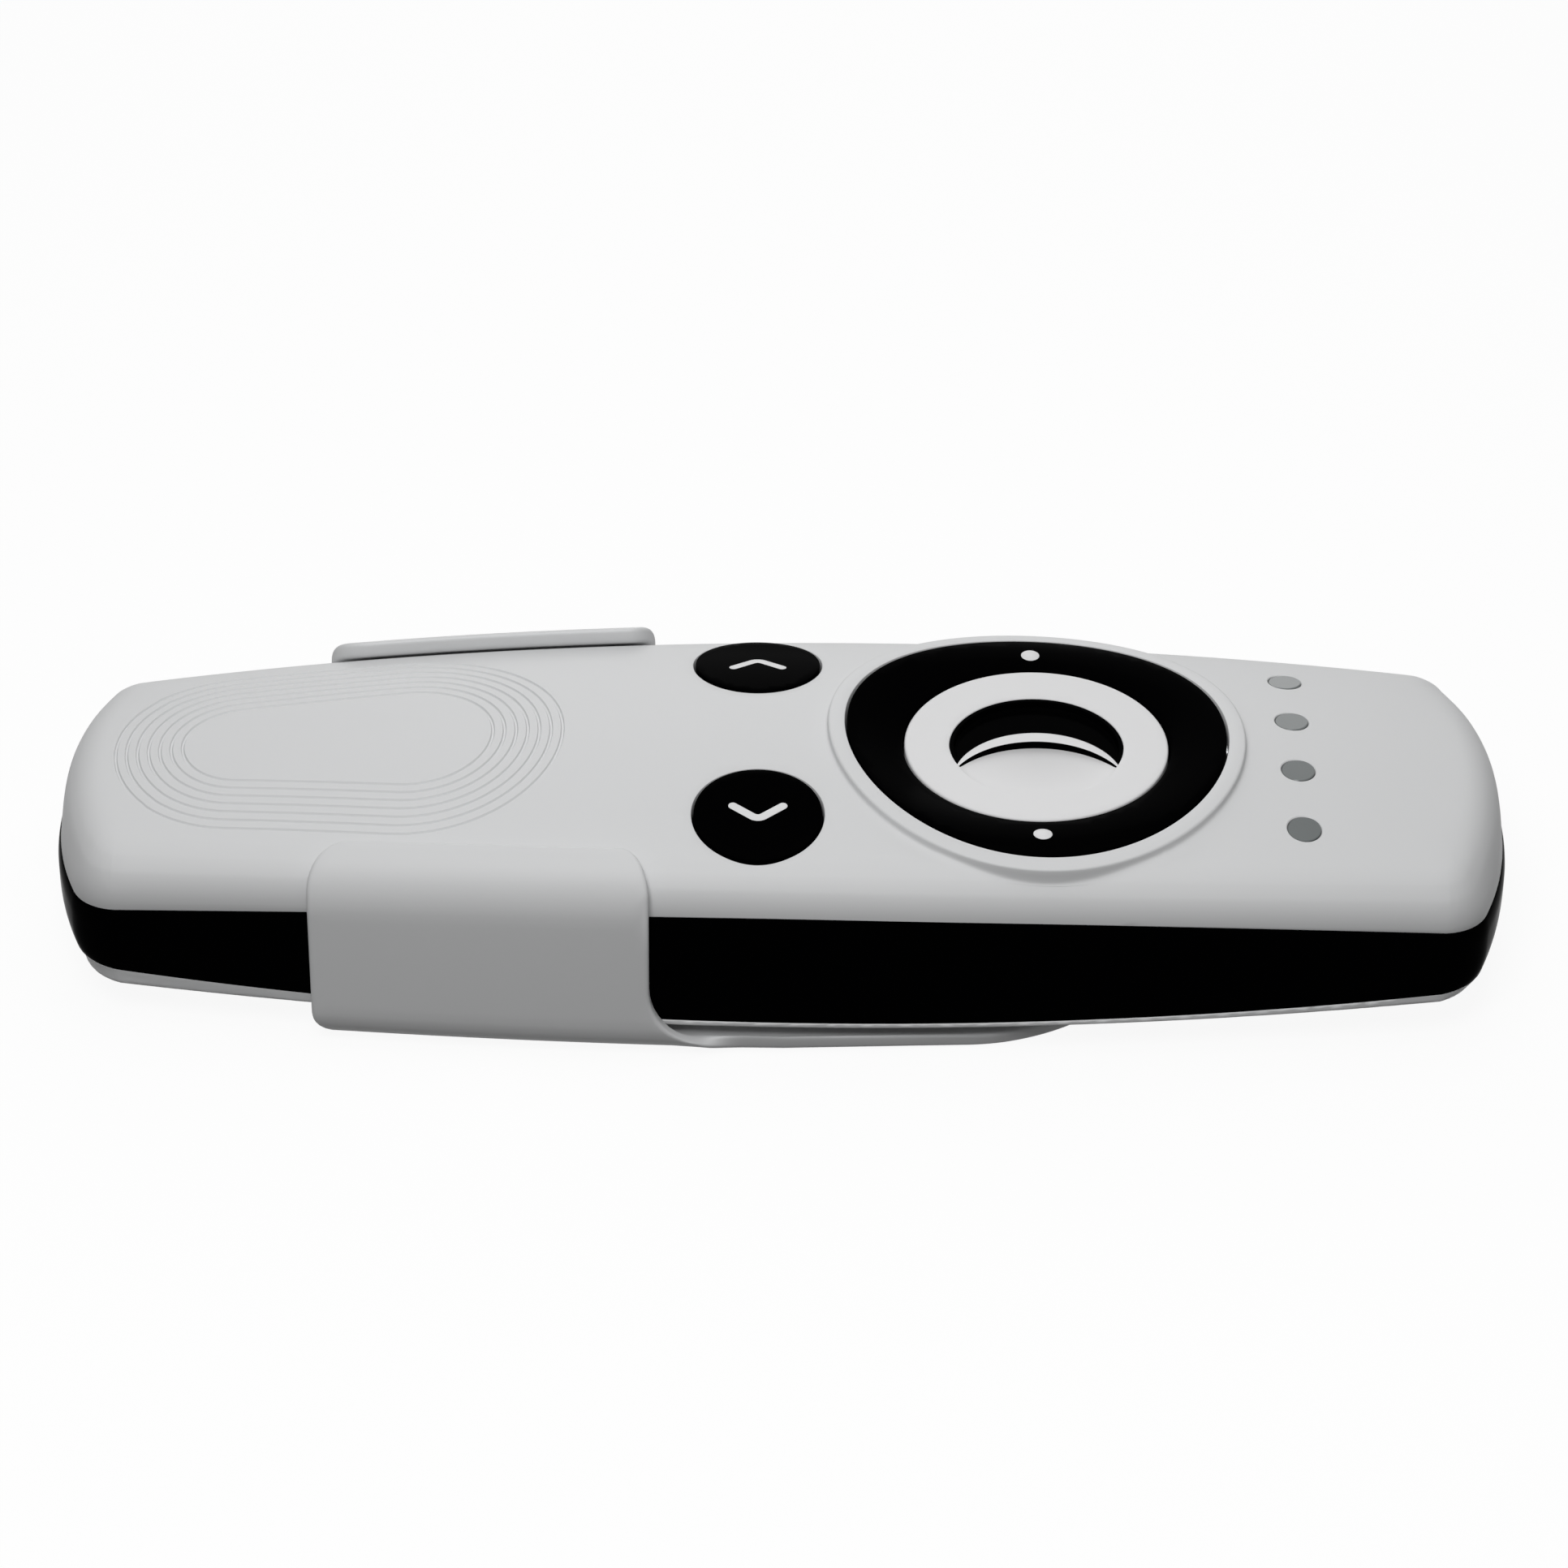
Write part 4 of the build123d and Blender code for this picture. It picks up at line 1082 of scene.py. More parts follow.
class HolderForm:
    """The holder as a sheet: places along it and round it, from its outside (0) to its inside (1)."""

    flat, bend, wall, lip = 23.0 * MM, 8.2 * MM, 12.0 * MM, 9.8 * MM

    def __init__(self, form, holder):
        self.form, self.holder = form, holder
        self.turn_end = self.flat + self.bend
        self.wall_end = self.turn_end + self.wall
        self.end = self.wall_end + self.lip

    def sizes(self, x, share):
        """Flat half width, floor, bend radius, shoulder radius and height of the shoulder's middle."""
        holder, form = self.holder, self.form
        clear = holder.gap + (1 - share) * holder.thickness
        bend = holder.edge_radius + share * (holder.inner_radius - holder.edge_radius)
        side, roll = form.side_y(x), form.body.shoulder_radius
        high = form.crown(x, side - roll, -roll)
        return side + clear - bend, share * holder.floor, bend, roll + clear, high

    def taper(self, x, z, share):
        """How far the outside of a wing leans in below its shoulder."""
        fade_length, height = 4 * MM, 18 * MM
        fade = np.clip((self.holder.plate_step_x - x) / fade_length, 0, 1)
        return (1 - share) * fade * self.holder.taper * np.clip(1 - z / height, 0, 1) ** 2

    def place(self, x, u, share):
        """The point at a place along and round the sheet."""
        flat, floor, bend, roll, high = self.sizes(x, share)
        way, u = np.sign(u), np.abs(u)
        turn = np.clip((u - self.flat) / self.bend, 0, 1) * math.pi / 2
        climb = np.clip((u - self.turn_end) / self.wall, 0, 1)
        middle = self.form.body.shoulder_radius - self.holder.lip_reach
        lean = np.clip((u - self.wall_end) / self.lip, 0, 1) * np.arccos(middle / roll)
        y = np.clip(u / self.flat, 0, 1) * flat + bend * np.sin(turn) - roll * (1 - np.cos(lean))
        z = floor + bend * (1 - np.cos(turn)) + climb * (high - floor - bend) + roll * np.sin(lean)
        y = y - np.clip(u / self.flat, 0, 1) * self.taper(x, z, share)
        return np.stack([x + 0 * u, way * y, z], axis=-1)

    def bent(self, turn):
        """How far round the sheet an angle of the lower bend lies."""
        return self.flat + turn * 2 / math.pi * self.bend

    def at_y(self, x, y, share):
        """How far round the sheet a place of the plate lies, seen from above."""
        flat, _, bend, _, _ = self.sizes(x, share)
        turn = np.arcsin(np.clip((y - flat) / bend, 0, 1))
        return np.where(y < flat, y * self.flat / flat, self.bent(turn))

    def at_z(self, x, z, share):
        """How far round the sheet a height of the wing lies."""
        _, floor, bend, _, high = self.sizes(x, share)
        turn = np.arccos(np.clip(1 - (z - floor) / bend, 0, 1))
        climb = (z - floor - bend) / (high - floor - bend)
        return np.where(climb > 0, self.turn_end + climb * self.wall, self.bent(turn))

    def half_edge(self, share):
        """The sheet's edge from its rear middle to its front middle, as places along and round it."""
        holder = self.holder
        rear, front, turned = holder.wing_left_x, holder.wing_right_x, self.end - holder.lip_drop
        edge_top, foot_fade = 17.0 * MM, 5.0 * MM
        u = np.concatenate([np.linspace(0, self.flat, 16), np.linspace(self.flat, self.wall_end, 24)[1:]])
        u = np.concatenate([u, np.linspace(self.wall_end, turned, 5)[1:-1]])
        low = np.minimum(self.place(np.full(len(u), rear), u, share)[:, 2], holder.corner_radius)
        x = rear + holder.corner_radius
        x = x - np.sqrt(holder.corner_radius**2 - (holder.corner_radius - low) ** 2)
        parts = [np.column_stack([x, u])]
        turns = np.linspace(0, math.pi / 2, 13)
        bend = unit_vectors(turns)
        parts.append(np.array([rear + holder.lip_rear, turned]) + bend * (-holder.lip_rear, holder.lip_drop))
        along = np.linspace(rear + holder.lip_rear, front - holder.lip_front, 22)[1:-1]
        parts.append(raised(along[:, None], self.end))
        bend = bend[::-1] * (holder.lip_front, holder.lip_drop)
        parts.append(np.array([front - holder.lip_front, turned]) + bend)
        top = holder.floor + holder.foot_radius
        z = np.concatenate([np.linspace(edge_top, top, 7), top - holder.foot_radius * np.sin(turns[1:-2])])
        x = front + holder.foot_radius
        x = x - np.sqrt(holder.foot_radius**2 - np.clip(top - z, 0, None) ** 2)
        parts.append(np.column_stack([x, self.at_z(x, z, share)]))
        bevel = (1 - share) * holder.plate_bevel
        half, round_end = holder.plate_half_width - bevel, holder.plate_end_radius - bevel
        end = holder.plate_end_x
        foot_x, foot_u = parts[-1][-1]
        foot_y = self.place(foot_x, foot_u, share)[1]
        x = np.linspace(foot_x, holder.plate_step_x + foot_fade, 9)[1:]
        fade = ((x[-1] - x) / (x[-1] - foot_x)) ** 2
        apart = math.hypot(end, half)
        turn = math.atan2(half, -end) - math.acos(round_end / apart)
        arc = np.linspace(turn, 0, 44)
        straight = np.linspace(x[-1], 0, 4)[1:]
        x = np.concatenate([x, straight, end + round_end * np.cos(arc)])
        y = np.concatenate([half + fade * (foot_y - half), np.full(3, half), round_end * np.sin(arc)])
        parts.append(np.column_stack([x, self.at_y(x, y, share)]))
        return np.concatenate(parts)

    def edge(self, share, inset):
        """The whole edge, set in from the rim."""
        half = self.half_edge(share)
        whole = np.concatenate([half, (half * (1, -1))[-2:0:-1]])
        along = np.roll(whole, -1, axis=0) - np.roll(whole, 1, axis=0)
        along /= np.linalg.norm(along, axis=1)[:, None]
        return whole + inset * np.column_stack([along[:, 1], -along[:, 0]])


class REMOTE_OT_holder(PieceMaker, bpy.types.Operator):
    """Make the holder: a flat plate and two wings that curl over the remote's shoulders"""

    bl_idname = "remote.holder"
    bl_label = "Holder"

    def make(self, scene):
        holder = scene.remote_holder
        sheet, skin = HolderForm(form_now(), holder), Skin()
        rim, mesh_step, edge_margin, plate_front = holder.rim, 1.5 * MM, 0.6 * MM, 45.0 * MM
        deep = rim / holder.thickness
        flat, faces_of = {}, {0: [], 1: []}

        def loop(places, share):
            numbers = skin.loop(sheet.place(places[:, 0], places[:, 1], share))
            flat.update({number: tuple(place) for number, place in zip(numbers, places)})
            return numbers

        turns = np.radians([0, 22.5, 45, 67.5, 90])
        outer = [(deep * (1 - math.sin(turn)), rim * (1 - math.cos(turn))) for turn in turns]
        steps = outer[::-1] + [(1 - share, inset) for share, inset in outer]
        loops = [loop(sheet.edge(share, inset), share) for share, inset in steps]
        skin.join(loops)
        faces_of[0].append(loops[0])
        faces_of[1].append(loops[-1])
        for way in (-1, 1):
            x = holder.screw_x + way * holder.screw_spacing / 2
            land, bore = holder.screw_land / holder.floor, holder.screw_radius
            rings = []
            for share, radius in ((0, bore), (land, bore), (1, holder.screw_head_radius)):
                places = np.array([x, 0]) + radius * circle(48)
                round_it = np.sign(places[:, 1]) * sheet.at_y(places[:, 0], np.abs(places[:, 1]), share)
                rings.append(loop(np.column_stack([places[:, 0], round_it]), share))
            skin.join(rings)
            faces_of[0].append(rings[0])
            faces_of[1].append(rings[-1])
        for share, edges in faces_of.items():
            shapes = [np.array([flat[number] for number in edge]) for edge in edges]

            def keep(x, y, shapes=shapes):
                wanted = within(shapes[0], x, y)
                for hole in shapes[1:]:
                    wanted &= ~within(hole, x, y)
                return wanted

            x, y = grid_points((holder.wing_left_x, -sheet.end), (plate_front, sheet.end), mesh_step)
            kept = keep(x, y) & (clearance(shapes[0], x, y) > edge_margin)
            loose = loop(np.column_stack([x[kept], y[kept]]), share)
            skin.fill(edges, loose, keep, flat)
        made = skin.piece("holder", "holder", "shell")
        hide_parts("holder")


class REMOTE_OT_dial(PieceMaker, bpy.types.Operator):
    """Make the dished black ring, its two light dots and the pins it rocks on"""

    bl_idname = "remote.dial"
    bl_label = "Dial ring"

    def make(self, scene):
        body, dial = scene.remote_body, scene.remote_dial
        form, skin = form_now(), Skin()
        middle, soft, mesh_step, edge_margin = np.array([dial.place, 0]), EDGE, 1.3 * MM, 0.5 * MM
        floor = body.top - dial.drop - dial.ring_thickness
        spots = [middle + (0, way * dial.marker_place) for way in (-1, 1)]

        def ring(radius, drop=None):
            places = middle + radius * circle(192)
            return skin.ring(places, floor if drop is None else form.dial_surface(*places.T) - drop)

        outer, inner = dial.ring_radius, dial.ring_inner_radius
        rim = [ring(*step) for step in softened(outer, -soft)] + [ring(outer), ring(inner)]
        rim += [ring(*step) for step in reversed(softened(inner, soft))]
        skin.join(rim)
        pockets = []
        for spot in spots:
            places = spot + dial.marker_radius * circle(40)
            top = form.dial_surface(*places.T)
            pocket = [skin.ring(places, top), skin.ring(places, top - INLAY_DEPTH)]
            skin.join(pocket)
            skin.fan(pocket[1], (*spot, float(np.mean(top)) - INLAY_DEPTH))
            pockets.append(pocket[0])
        x, y = grid_points(middle - outer, middle + outer, mesh_step)
        foot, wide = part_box("rocker_ring")[0][2], dial.foot_radius
        profile = [(wide, floor + soft), (wide, foot + soft), (wide - soft, foot), (0, foot)]
        for spot in spots:
            skin.lathe(spot, profile, 32)

        def keep(x, y, margin=0.0):
            radius = np.hypot(x - dial.place, y)
            wanted = (radius > inner + soft + margin) & (radius < outer - soft - margin)
            for spot in spots:
                wanted &= np.hypot(x - spot[0], y - spot[1]) > dial.marker_radius + margin
            return wanted

        kept = keep(x, y, edge_margin)
        loose = skin.loop(np.column_stack([x[kept], y[kept], form.dial_surface(x[kept], y[kept])]))
        skin.fill([rim[0], rim[-1]] + pockets, loose, keep)
        made = skin.piece("dial_ring", "rocker", "black")
        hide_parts("rocker_ring")
        self.dots(form, dial, spots)
        dressed("rocker_pins", "steel")

    def dots(self, form, dial, spots):
        """The two light dots, level with the ring."""
        skin, soft = Skin(), 0.06 * MM
        for spot in spots:
            rings = []
            for share, drop in ((0.97, INLAY_DEPTH), (0.97, soft), (0.9, 0.0)):
                places = spot + share * dial.marker_radius * circle(40)
                rings.append(skin.ring(places, form.dial_surface(*places.T) - drop))
            skin.join(rings)
            top = float(form.dial_surface(*spot))
            skin.fan(rings[2], (*spot, top))
            skin.fan(rings[0][::-1], (*spot, top - INLAY_DEPTH))
        made = skin.piece("ring_dots", "rocker", "key_cap")
        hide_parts("ring_markers")


class REMOTE_OT_centre_key(PieceMaker, bpy.types.Operator):
    """Make the push key with its thumb hollow, and the black crescent let into it"""

    bl_idname = "remote.centre_key"
    bl_label = "Centre key"

    def make(self, scene):
        body, dial, keys = scene.remote_body, scene.remote_dial, scene.remote_keys
        self.middle = np.array([dial.place, 0])
        self.keys, self.top = keys, body.top - dial.drop
        self.key(Skin())
        self.cup(Skin())

    def crescent(self, inset=0.0, count=72):
        """The crescent seen from above: its outer arc, flatter at the top, and its inner arc."""
        keys = self.keys
        outer, inner = keys.crescent_width - inset, keys.crescent_radius + inset
        tip = (outer**2 - inner**2 + keys.crescent_shift**2) / (2 * keys.crescent_shift)
        start, end = math.asin(-tip / outer), math.asin((keys.crescent_shift - tip) / inner)
        out = np.linspace(start, math.pi - start, count)
        back = np.linspace(math.pi - end, end, count)[1:-1]
        reach = outer - keys.crescent_flat * np.clip(np.sin(out), 0, 1)
        arcs = [unit_vectors(out) * reach[:, None], unit_vectors(back) * inner - (0, keys.crescent_shift)]
        return self.middle + np.concatenate(arcs)

    def lip_y(self):
        """Middle of the lip's lower arc, from the dial's."""
        keys = self.keys
        return keys.crescent_radius - keys.crescent_shift - keys.lip_width - keys.lip_radius

    def hollow_edge(self, inset, count):
        """The thumb hollow seen from above: the lip's lower arc, and the soft edge behind it."""
        keys, lip_y = self.keys, self.lip_y()
        wide, lip = keys.hollow_radius - inset, keys.lip_radius - inset
        apart = keys.hollow_y - lip_y
        rise = (lip**2 - wide**2 + apart**2) / (2 * apart)
        start, end = math.asin(rise / lip), math.asin((rise - apart) / wide)
        out = np.linspace(start, math.pi - start, count)
        back = np.linspace(math.pi - end, math.tau + end, count)[1:-1]
        arcs = [unit_vectors(out) * lip + (0, lip_y), unit_vectors(back) * wide + (0, keys.hollow_y)]
        return self.middle + np.concatenate(arcs)

    def sink(self, x, y):
        """Depth of the thumb hollow, which rises from the lip towards its near edge."""
        keys, across = self.keys, x - self.middle[0]
        side = np.clip(1 - (across**2 + (y - keys.hollow_y) ** 2) / keys.hollow_radius**2, 0, 1)
        behind = (keys.lip_radius - np.hypot(across, y - self.lip_y())) / keys.hollow_radius
        return keys.hollow_depth * side**0.6 * np.clip(1 - behind, 0, 1) ** 2

    def key(self, skin):
        """The light grey key."""
        keys, top, middle = self.keys, self.top, self.middle
        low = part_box("centre_key")[0][2]
        soft, wide, stem_radius = keys.centre_edge, keys.centre_radius, 1.8 * MM
        mesh_step, edge_margin, lip_count = 0.9 * MM, 0.35 * MM, 60
        plate, round_radius, round_height = top - keys.centre_plate, wide - soft, top - soft
        turns = np.radians([0, 22.5, 45, 67.5, 90])
        profile = [(round_radius + soft * math.sin(t), round_height + soft * math.cos(t)) for t in turns]
        guide, wall = keys.guide_radius, keys.guide_wall
        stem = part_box("centre_dome")[1][2]
        profile += [(wide, plate), (guide, plate), (guide, low), (guide - wall, low), (guide - wall, plate)]
        profile += [(stem_radius, plate), (stem_radius, stem), (0, stem)]
        rim = skin.ring(middle + profile[0][0] * circle(144), top)
        skin.lathe(middle, profile, 144)
        steps = ((-0.12 * MM, 0.0), (-0.04 * MM, 0.04 * MM), (0.0, 0.12 * MM), (0.0, keys.crescent_depth))
        pocket = [skin.ring(self.crescent(inset), top - drop) for inset, drop in steps]
        skin.join(pocket)
        hollow = []
        for inset, share in ((0.0, 0.0), (0.04 * MM, 0.18), (0.1 * MM, 0.85), (0.18 * MM, 1.0)):
            edge = self.hollow_edge(inset, lip_count)
            hollow.append(skin.ring(edge, top - share * self.sink(*edge.T)))
        last = lip_count - 1
        # Painted shade: the step wall under the lip takes the black finish (mark 1), standing in for the
        # shadow below the lip.
        for first, second in zip(hollow, hollow[1:]):
            skin.strip(first[:lip_count], second[:lip_count], False, 1)
            skin.strip(first[last:] + first[:1], second[last:] + second[:1], False)
        edges = {"rim": rim, "pocket": pocket[0], "floor": pocket[-1]}
        edges.update({"hollow": hollow[0], "bowl": hollow[-1]})
        shapes = {name: skin.plan(loop) for name, loop in edges.items()}

        def on_top(x, y):
            inside = within(shapes["rim"], x, y)
            return inside & ~within(shapes["pocket"], x, y) & ~within(shapes["hollow"], x, y)

        def clear(x, y, keep, *names):
            near = np.concatenate([shapes[name] for name in names])
            return keep(x, y) & (clearance(near, x, y) > edge_margin)

        x, y = grid_points(middle - wide, middle + wide, mesh_step)
        kept = clear(x, y, on_top, "rim", "pocket", "hollow")
        loose = skin.loop(np.column_stack([x[kept], y[kept], np.full(kept.sum(), top)]))
        skin.fill([rim, pocket[0], hollow[0]], loose, on_top)

        def in_bowl(x, y):
            return within(shapes["bowl"], x, y)

        kept = clear(x, y, in_bowl, "bowl")
        loose = skin.loop(np.column_stack([x[kept], y[kept], top - self.sink(x[kept], y[kept])]))
        # Painted shade: the bowl's faces take the third finish, which is darker under the lip.
        skin.fill([hollow[-1]], loose, in_bowl, mark=2)
        skin.fill([pocket[-1]], [], lambda x, y: within(shapes["floor"], x, y))
        # The black finish paints shade on the lip's step wall, and the last finish paints shade into the
        # bowl.
        others = finish_named("black"), self.painted_hollow_shade()
        made = skin.piece("centre_key_form", "centre_key", "key_cap", *others)
        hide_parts("centre_key")

    def painted_hollow_shade(self):
        """The key's plastic with painted shade, darker round the hollow's middle under the lip and fading
        out towards its edge.
        """
        keys, shade = self.keys, bpy.context.scene.remote_finishes.key_cap
        finish = Finish("thumb_hollow_finish")
        near = finish.node("ShaderNodeMapping", None, {
            "Vector": finish.place(),
            "Location": (-self.middle[0] / keys.hollow_radius, -0.05, 0.0),
            "Scale": (1 / keys.hollow_radius, 1 / keys.hollow_radius, 0.0),
        })
        away = finish.node("ShaderNodeVectorMath", {"operation": "LENGTH"}, {0: near}).out("Value")
        speck = finish.noise(GRAIN_SCALE, detail=1.0)
        return finish.close({
            # Painted shade: the colour falls to 0.8 at the hollow's middle under the lip and is full one
            # hollow radius away.
            "Base Color": finish.shades(away, tinted(shade, 0.8), shade),
            "Roughness": 0.5 + 0.06 * (speck - 0.5),
            "Specular IOR Level": 0.35,
            "Normal": finish.bump(0.05, GRAIN_DEPTH, speck),
        })

    def cup(self, skin):
        """The black cup in the crescent."""
        gap, sunk, thick = 0.02 * MM, 0.12 * MM, 0.5 * MM
        lean, floor_rise, floor_inset = 0.15 * MM, 0.2 * MM, 0.4 * MM
        top, deep = self.top - sunk, self.top - self.keys.crescent_depth + gap
        steps = ((gap, deep), (gap, top), (thick, top), (thick + lean, deep + thick + floor_rise))
        loops = [skin.ring(self.crescent(inset), height) for inset, height in steps]
        loops.append(skin.ring(self.crescent(thick + floor_inset), deep + thick))
        skin.join(loops)
        for loop in (loops[0], loops[-1]):
            shape = skin.plan(loop)
            skin.fill([loop], [], lambda x, y, shape=shape: within(shape, x, y))
        made = skin.piece("crescent_cup", "centre_key", "black")
        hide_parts("thumb_inlay")


class REMOTE_OT_arrow_keys(PieceMaker, bpy.types.Operator):
    """Make the two round arrow keys and the arrows let into them"""

    bl_idname = "remote.arrow_keys"
    bl_label = "Arrow keys"

    def make(self, scene):
        for way, name in ((1, "up"), (-1, "down")):
            self.cap(scene, way, name)
            self.arrow(scene, way, name)

    def arrow_edge(self, keys, way, inset):
        """An arrow's outline in its key's frame: a bent stroke with round ends."""
        half = keys.arrow_stroke / 2
        side = np.array([keys.arrow_half_width - half, half - keys.arrow_rise / 2])
        tip = keys.arrow_rise / 2 - half
        slope, bend = math.atan2(tip - side[1], side[0]), keys.arrow_stroke
        middle = np.array([0, tip - bend / math.cos(slope)])
        left, right = math.pi / 2 + slope, math.pi / 2 - slope

        def facing(start, end, count=14):
            return unit_vectors(np.linspace(start, end, count))

        wide = half - inset
        parts = [
            side * (-1, 1) + wide * facing(left + math.pi, left),
            middle + (bend + wide) * facing(left, right),
            side + wide * facing(right, right - math.pi),
            middle + (bend - wide) * facing(right, left),
        ]
        return way * np.concatenate(parts)

    def on_key(self, scene, way, flat, drop):
        """Places under a key's top, which follows the crown."""
        body, keys = scene.remote_body, scene.remote_keys
        reach = body.crown_radius + keys.key_lift
        height = np.sqrt(reach**2 - flat[:, 1] ** 2) - body.crown_radius - drop
        places = np.column_stack([flat, height, np.ones(len(flat))])
        return (places @ np.array(key_frame(way)).T)[:, :3]

    def cap(self, scene, way, name):
        """One black key."""
        keys, skin = scene.remote_keys, Skin()
        wide, rays = keys.key_radius, circle(120)
        side_depth, neck_depth, neck_end = 2.4 * MM, 3.2 * MM, 3.3 * MM
        stem_radius, stem_depth = 1.8 * MM, 4.0 * MM
        mesh_step, arrow_margin, rim_margin = 0.8 * MM, 0.3 * MM, 0.6 * MM
        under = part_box(name + "_button")[0][2]
        middle = (key_frame(way) @ Vector((0, 0, -stem_depth)))[:2]
        flat = {}

        def loop(places, drop):
            numbers = skin.loop(self.on_key(scene, way, places, drop))
            flat.update({number: tuple(place) for number, place in zip(numbers, places)})
            return numbers

        steps = [*softened(wide, -EDGE), (wide, side_depth)]
        steps += [(0.94 * wide, neck_depth), (0.3 * wide, neck_end)]
        rings = [loop(radius * rays, drop) for radius, drop in steps]
        low = skin.ring(middle + stem_radius * rays, under)
        skin.join([*rings, low])
        skin.fan(low, (*middle, under))
        edge = self.arrow_edge(keys, way, 0.0)
        pocket = [loop(edge, 0.0), loop(edge, INLAY_DEPTH)]
        skin.join(pocket)
        x, y = grid_points((-wide, -wide), (wide, wide), mesh_step)

        def on_top(x, y):
            return (np.hypot(x, y) < wide - EDGE) & ~within(edge, x, y)

        kept = on_top(x, y) & (clearance(edge, x, y) > arrow_margin) & (np.hypot(x, y) < wide - rim_margin)
        loose = loop(np.column_stack([x[kept], y[kept]]), 0.0)
        skin.fill([rings[0], pocket[0]], loose, on_top, flat)
        skin.fill([pocket[1]], [], lambda x, y: within(edge, x, y), flat)
        made = skin.piece(name + "_key", name + "_button", "black")
        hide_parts(name + "_button")

    def arrow(self, scene, way, name):
        """One light arrow, level with its key."""
        keys, skin, flat = scene.remote_keys, Skin(), {}
        loops = []
        for inset, drop in ((0.02, 0.58), (0.02, 0.02), (0.1, -0.02)):  # in millimetres
            places = self.arrow_edge(keys, way, inset * MM)
            loops.append(skin.loop(self.on_key(scene, way, places, drop * MM)))
            flat.update({number: tuple(place) for number, place in zip(loops[-1], places)})
        skin.join(loops)
        for loop in (loops[0], loops[-1]):
            shape = np.array([flat[number] for number in loop])
            skin.fill([loop], [], lambda x, y, shape=shape: within(shape, x, y), flat)
        made = skin.piece(name + "_arrow_form", name + "_button", "key_cap")
        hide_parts(name + "_arrow")


class REMOTE_OT_underside(PieceMaker, bpy.types.Operator):
    """Make the light grey underside and the battery door"""

    bl_idname = "remote.underside"
    bl_label = "Underside"

    def make(self, scene):
        form = form_now()
        for node in ("bottom_shell", "battery_door"):
            dressed(node, "shell", form_of=form)


class REMOTE_OT_windows(PieceMaker, bpy.types.Operator):
    """Make the row of grey light windows in the cover"""

    bl_idname = "remote.windows"
    bl_label = "Light windows"

    def make(self, scene):
        body, keys, gap, soft = scene.remote_body, scene.remote_keys, 0.01 * MM, 0.1 * MM
        tree = PartTree("light_windows", {
            "Count": keys.window_count, "Place": keys.window_x, "Pitch": keys.window_pitch,
            "Radius": keys.window_radius - gap, "Thickness": body.wall, "Soft edge": soft,
            "Top": body.top, "Crown radius": body.crown_radius, "Ridge radius": body.ridge_radius,
        })
        given = tree.given
        step = tree.vector(0.0, given["Pitch"], 0.0)
        line = tree.node("GeometryNodeMeshLine", None, {"Count": given["Count"], "Offset": step})
        place = tree.node("ShaderNodeSeparateXYZ", None, {0: tree.node("GeometryNodeInputPosition")})
        y = place.out("Y") - (given["Count"] - 1.0) * given["Pitch"] * 0.5
        crown, x = given["Crown radius"], given["Place"]
        axis = given["Top"] - given["Ridge radius"]
        across = given["Top"] - crown + (crown * crown - y * y) ** 0.5 - axis
        z = axis + (across * across - x * x) ** 0.5
        lifted = {"Geometry": line, "Position": tree.vector(x, y, z)}
        line = tree.node("GeometryNodeSetPosition", None, lifted)
        spot = tree.node("ShaderNodeSeparateXYZ", None, {0: tree.node("GeometryNodeInputPosition")})
        tilt = tree.node("ShaderNodeMath", {"operation": "ARCSINE"}, {0: spot.out("Y") / crown}) * -1.0
        turn = tree.node("FunctionNodeEulerToRotation", None, {0: tree.vector(tilt, 0.0, 0.0)})
        lens = tree.disc(given["Radius"], given["Thickness"], given["Soft edge"])
        row = {"Points": line, "Instance": lens, "Rotation": turn}
        row = tree.node("GeometryNodeInstanceOnPoints", None, row)
        mesh = tree.mesh("light_windows", row, finish_named("window"))
        made = settle("light_windows", mesh, "remote", SLOTS["window"], sharp=30.0)
        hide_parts("led_windows")


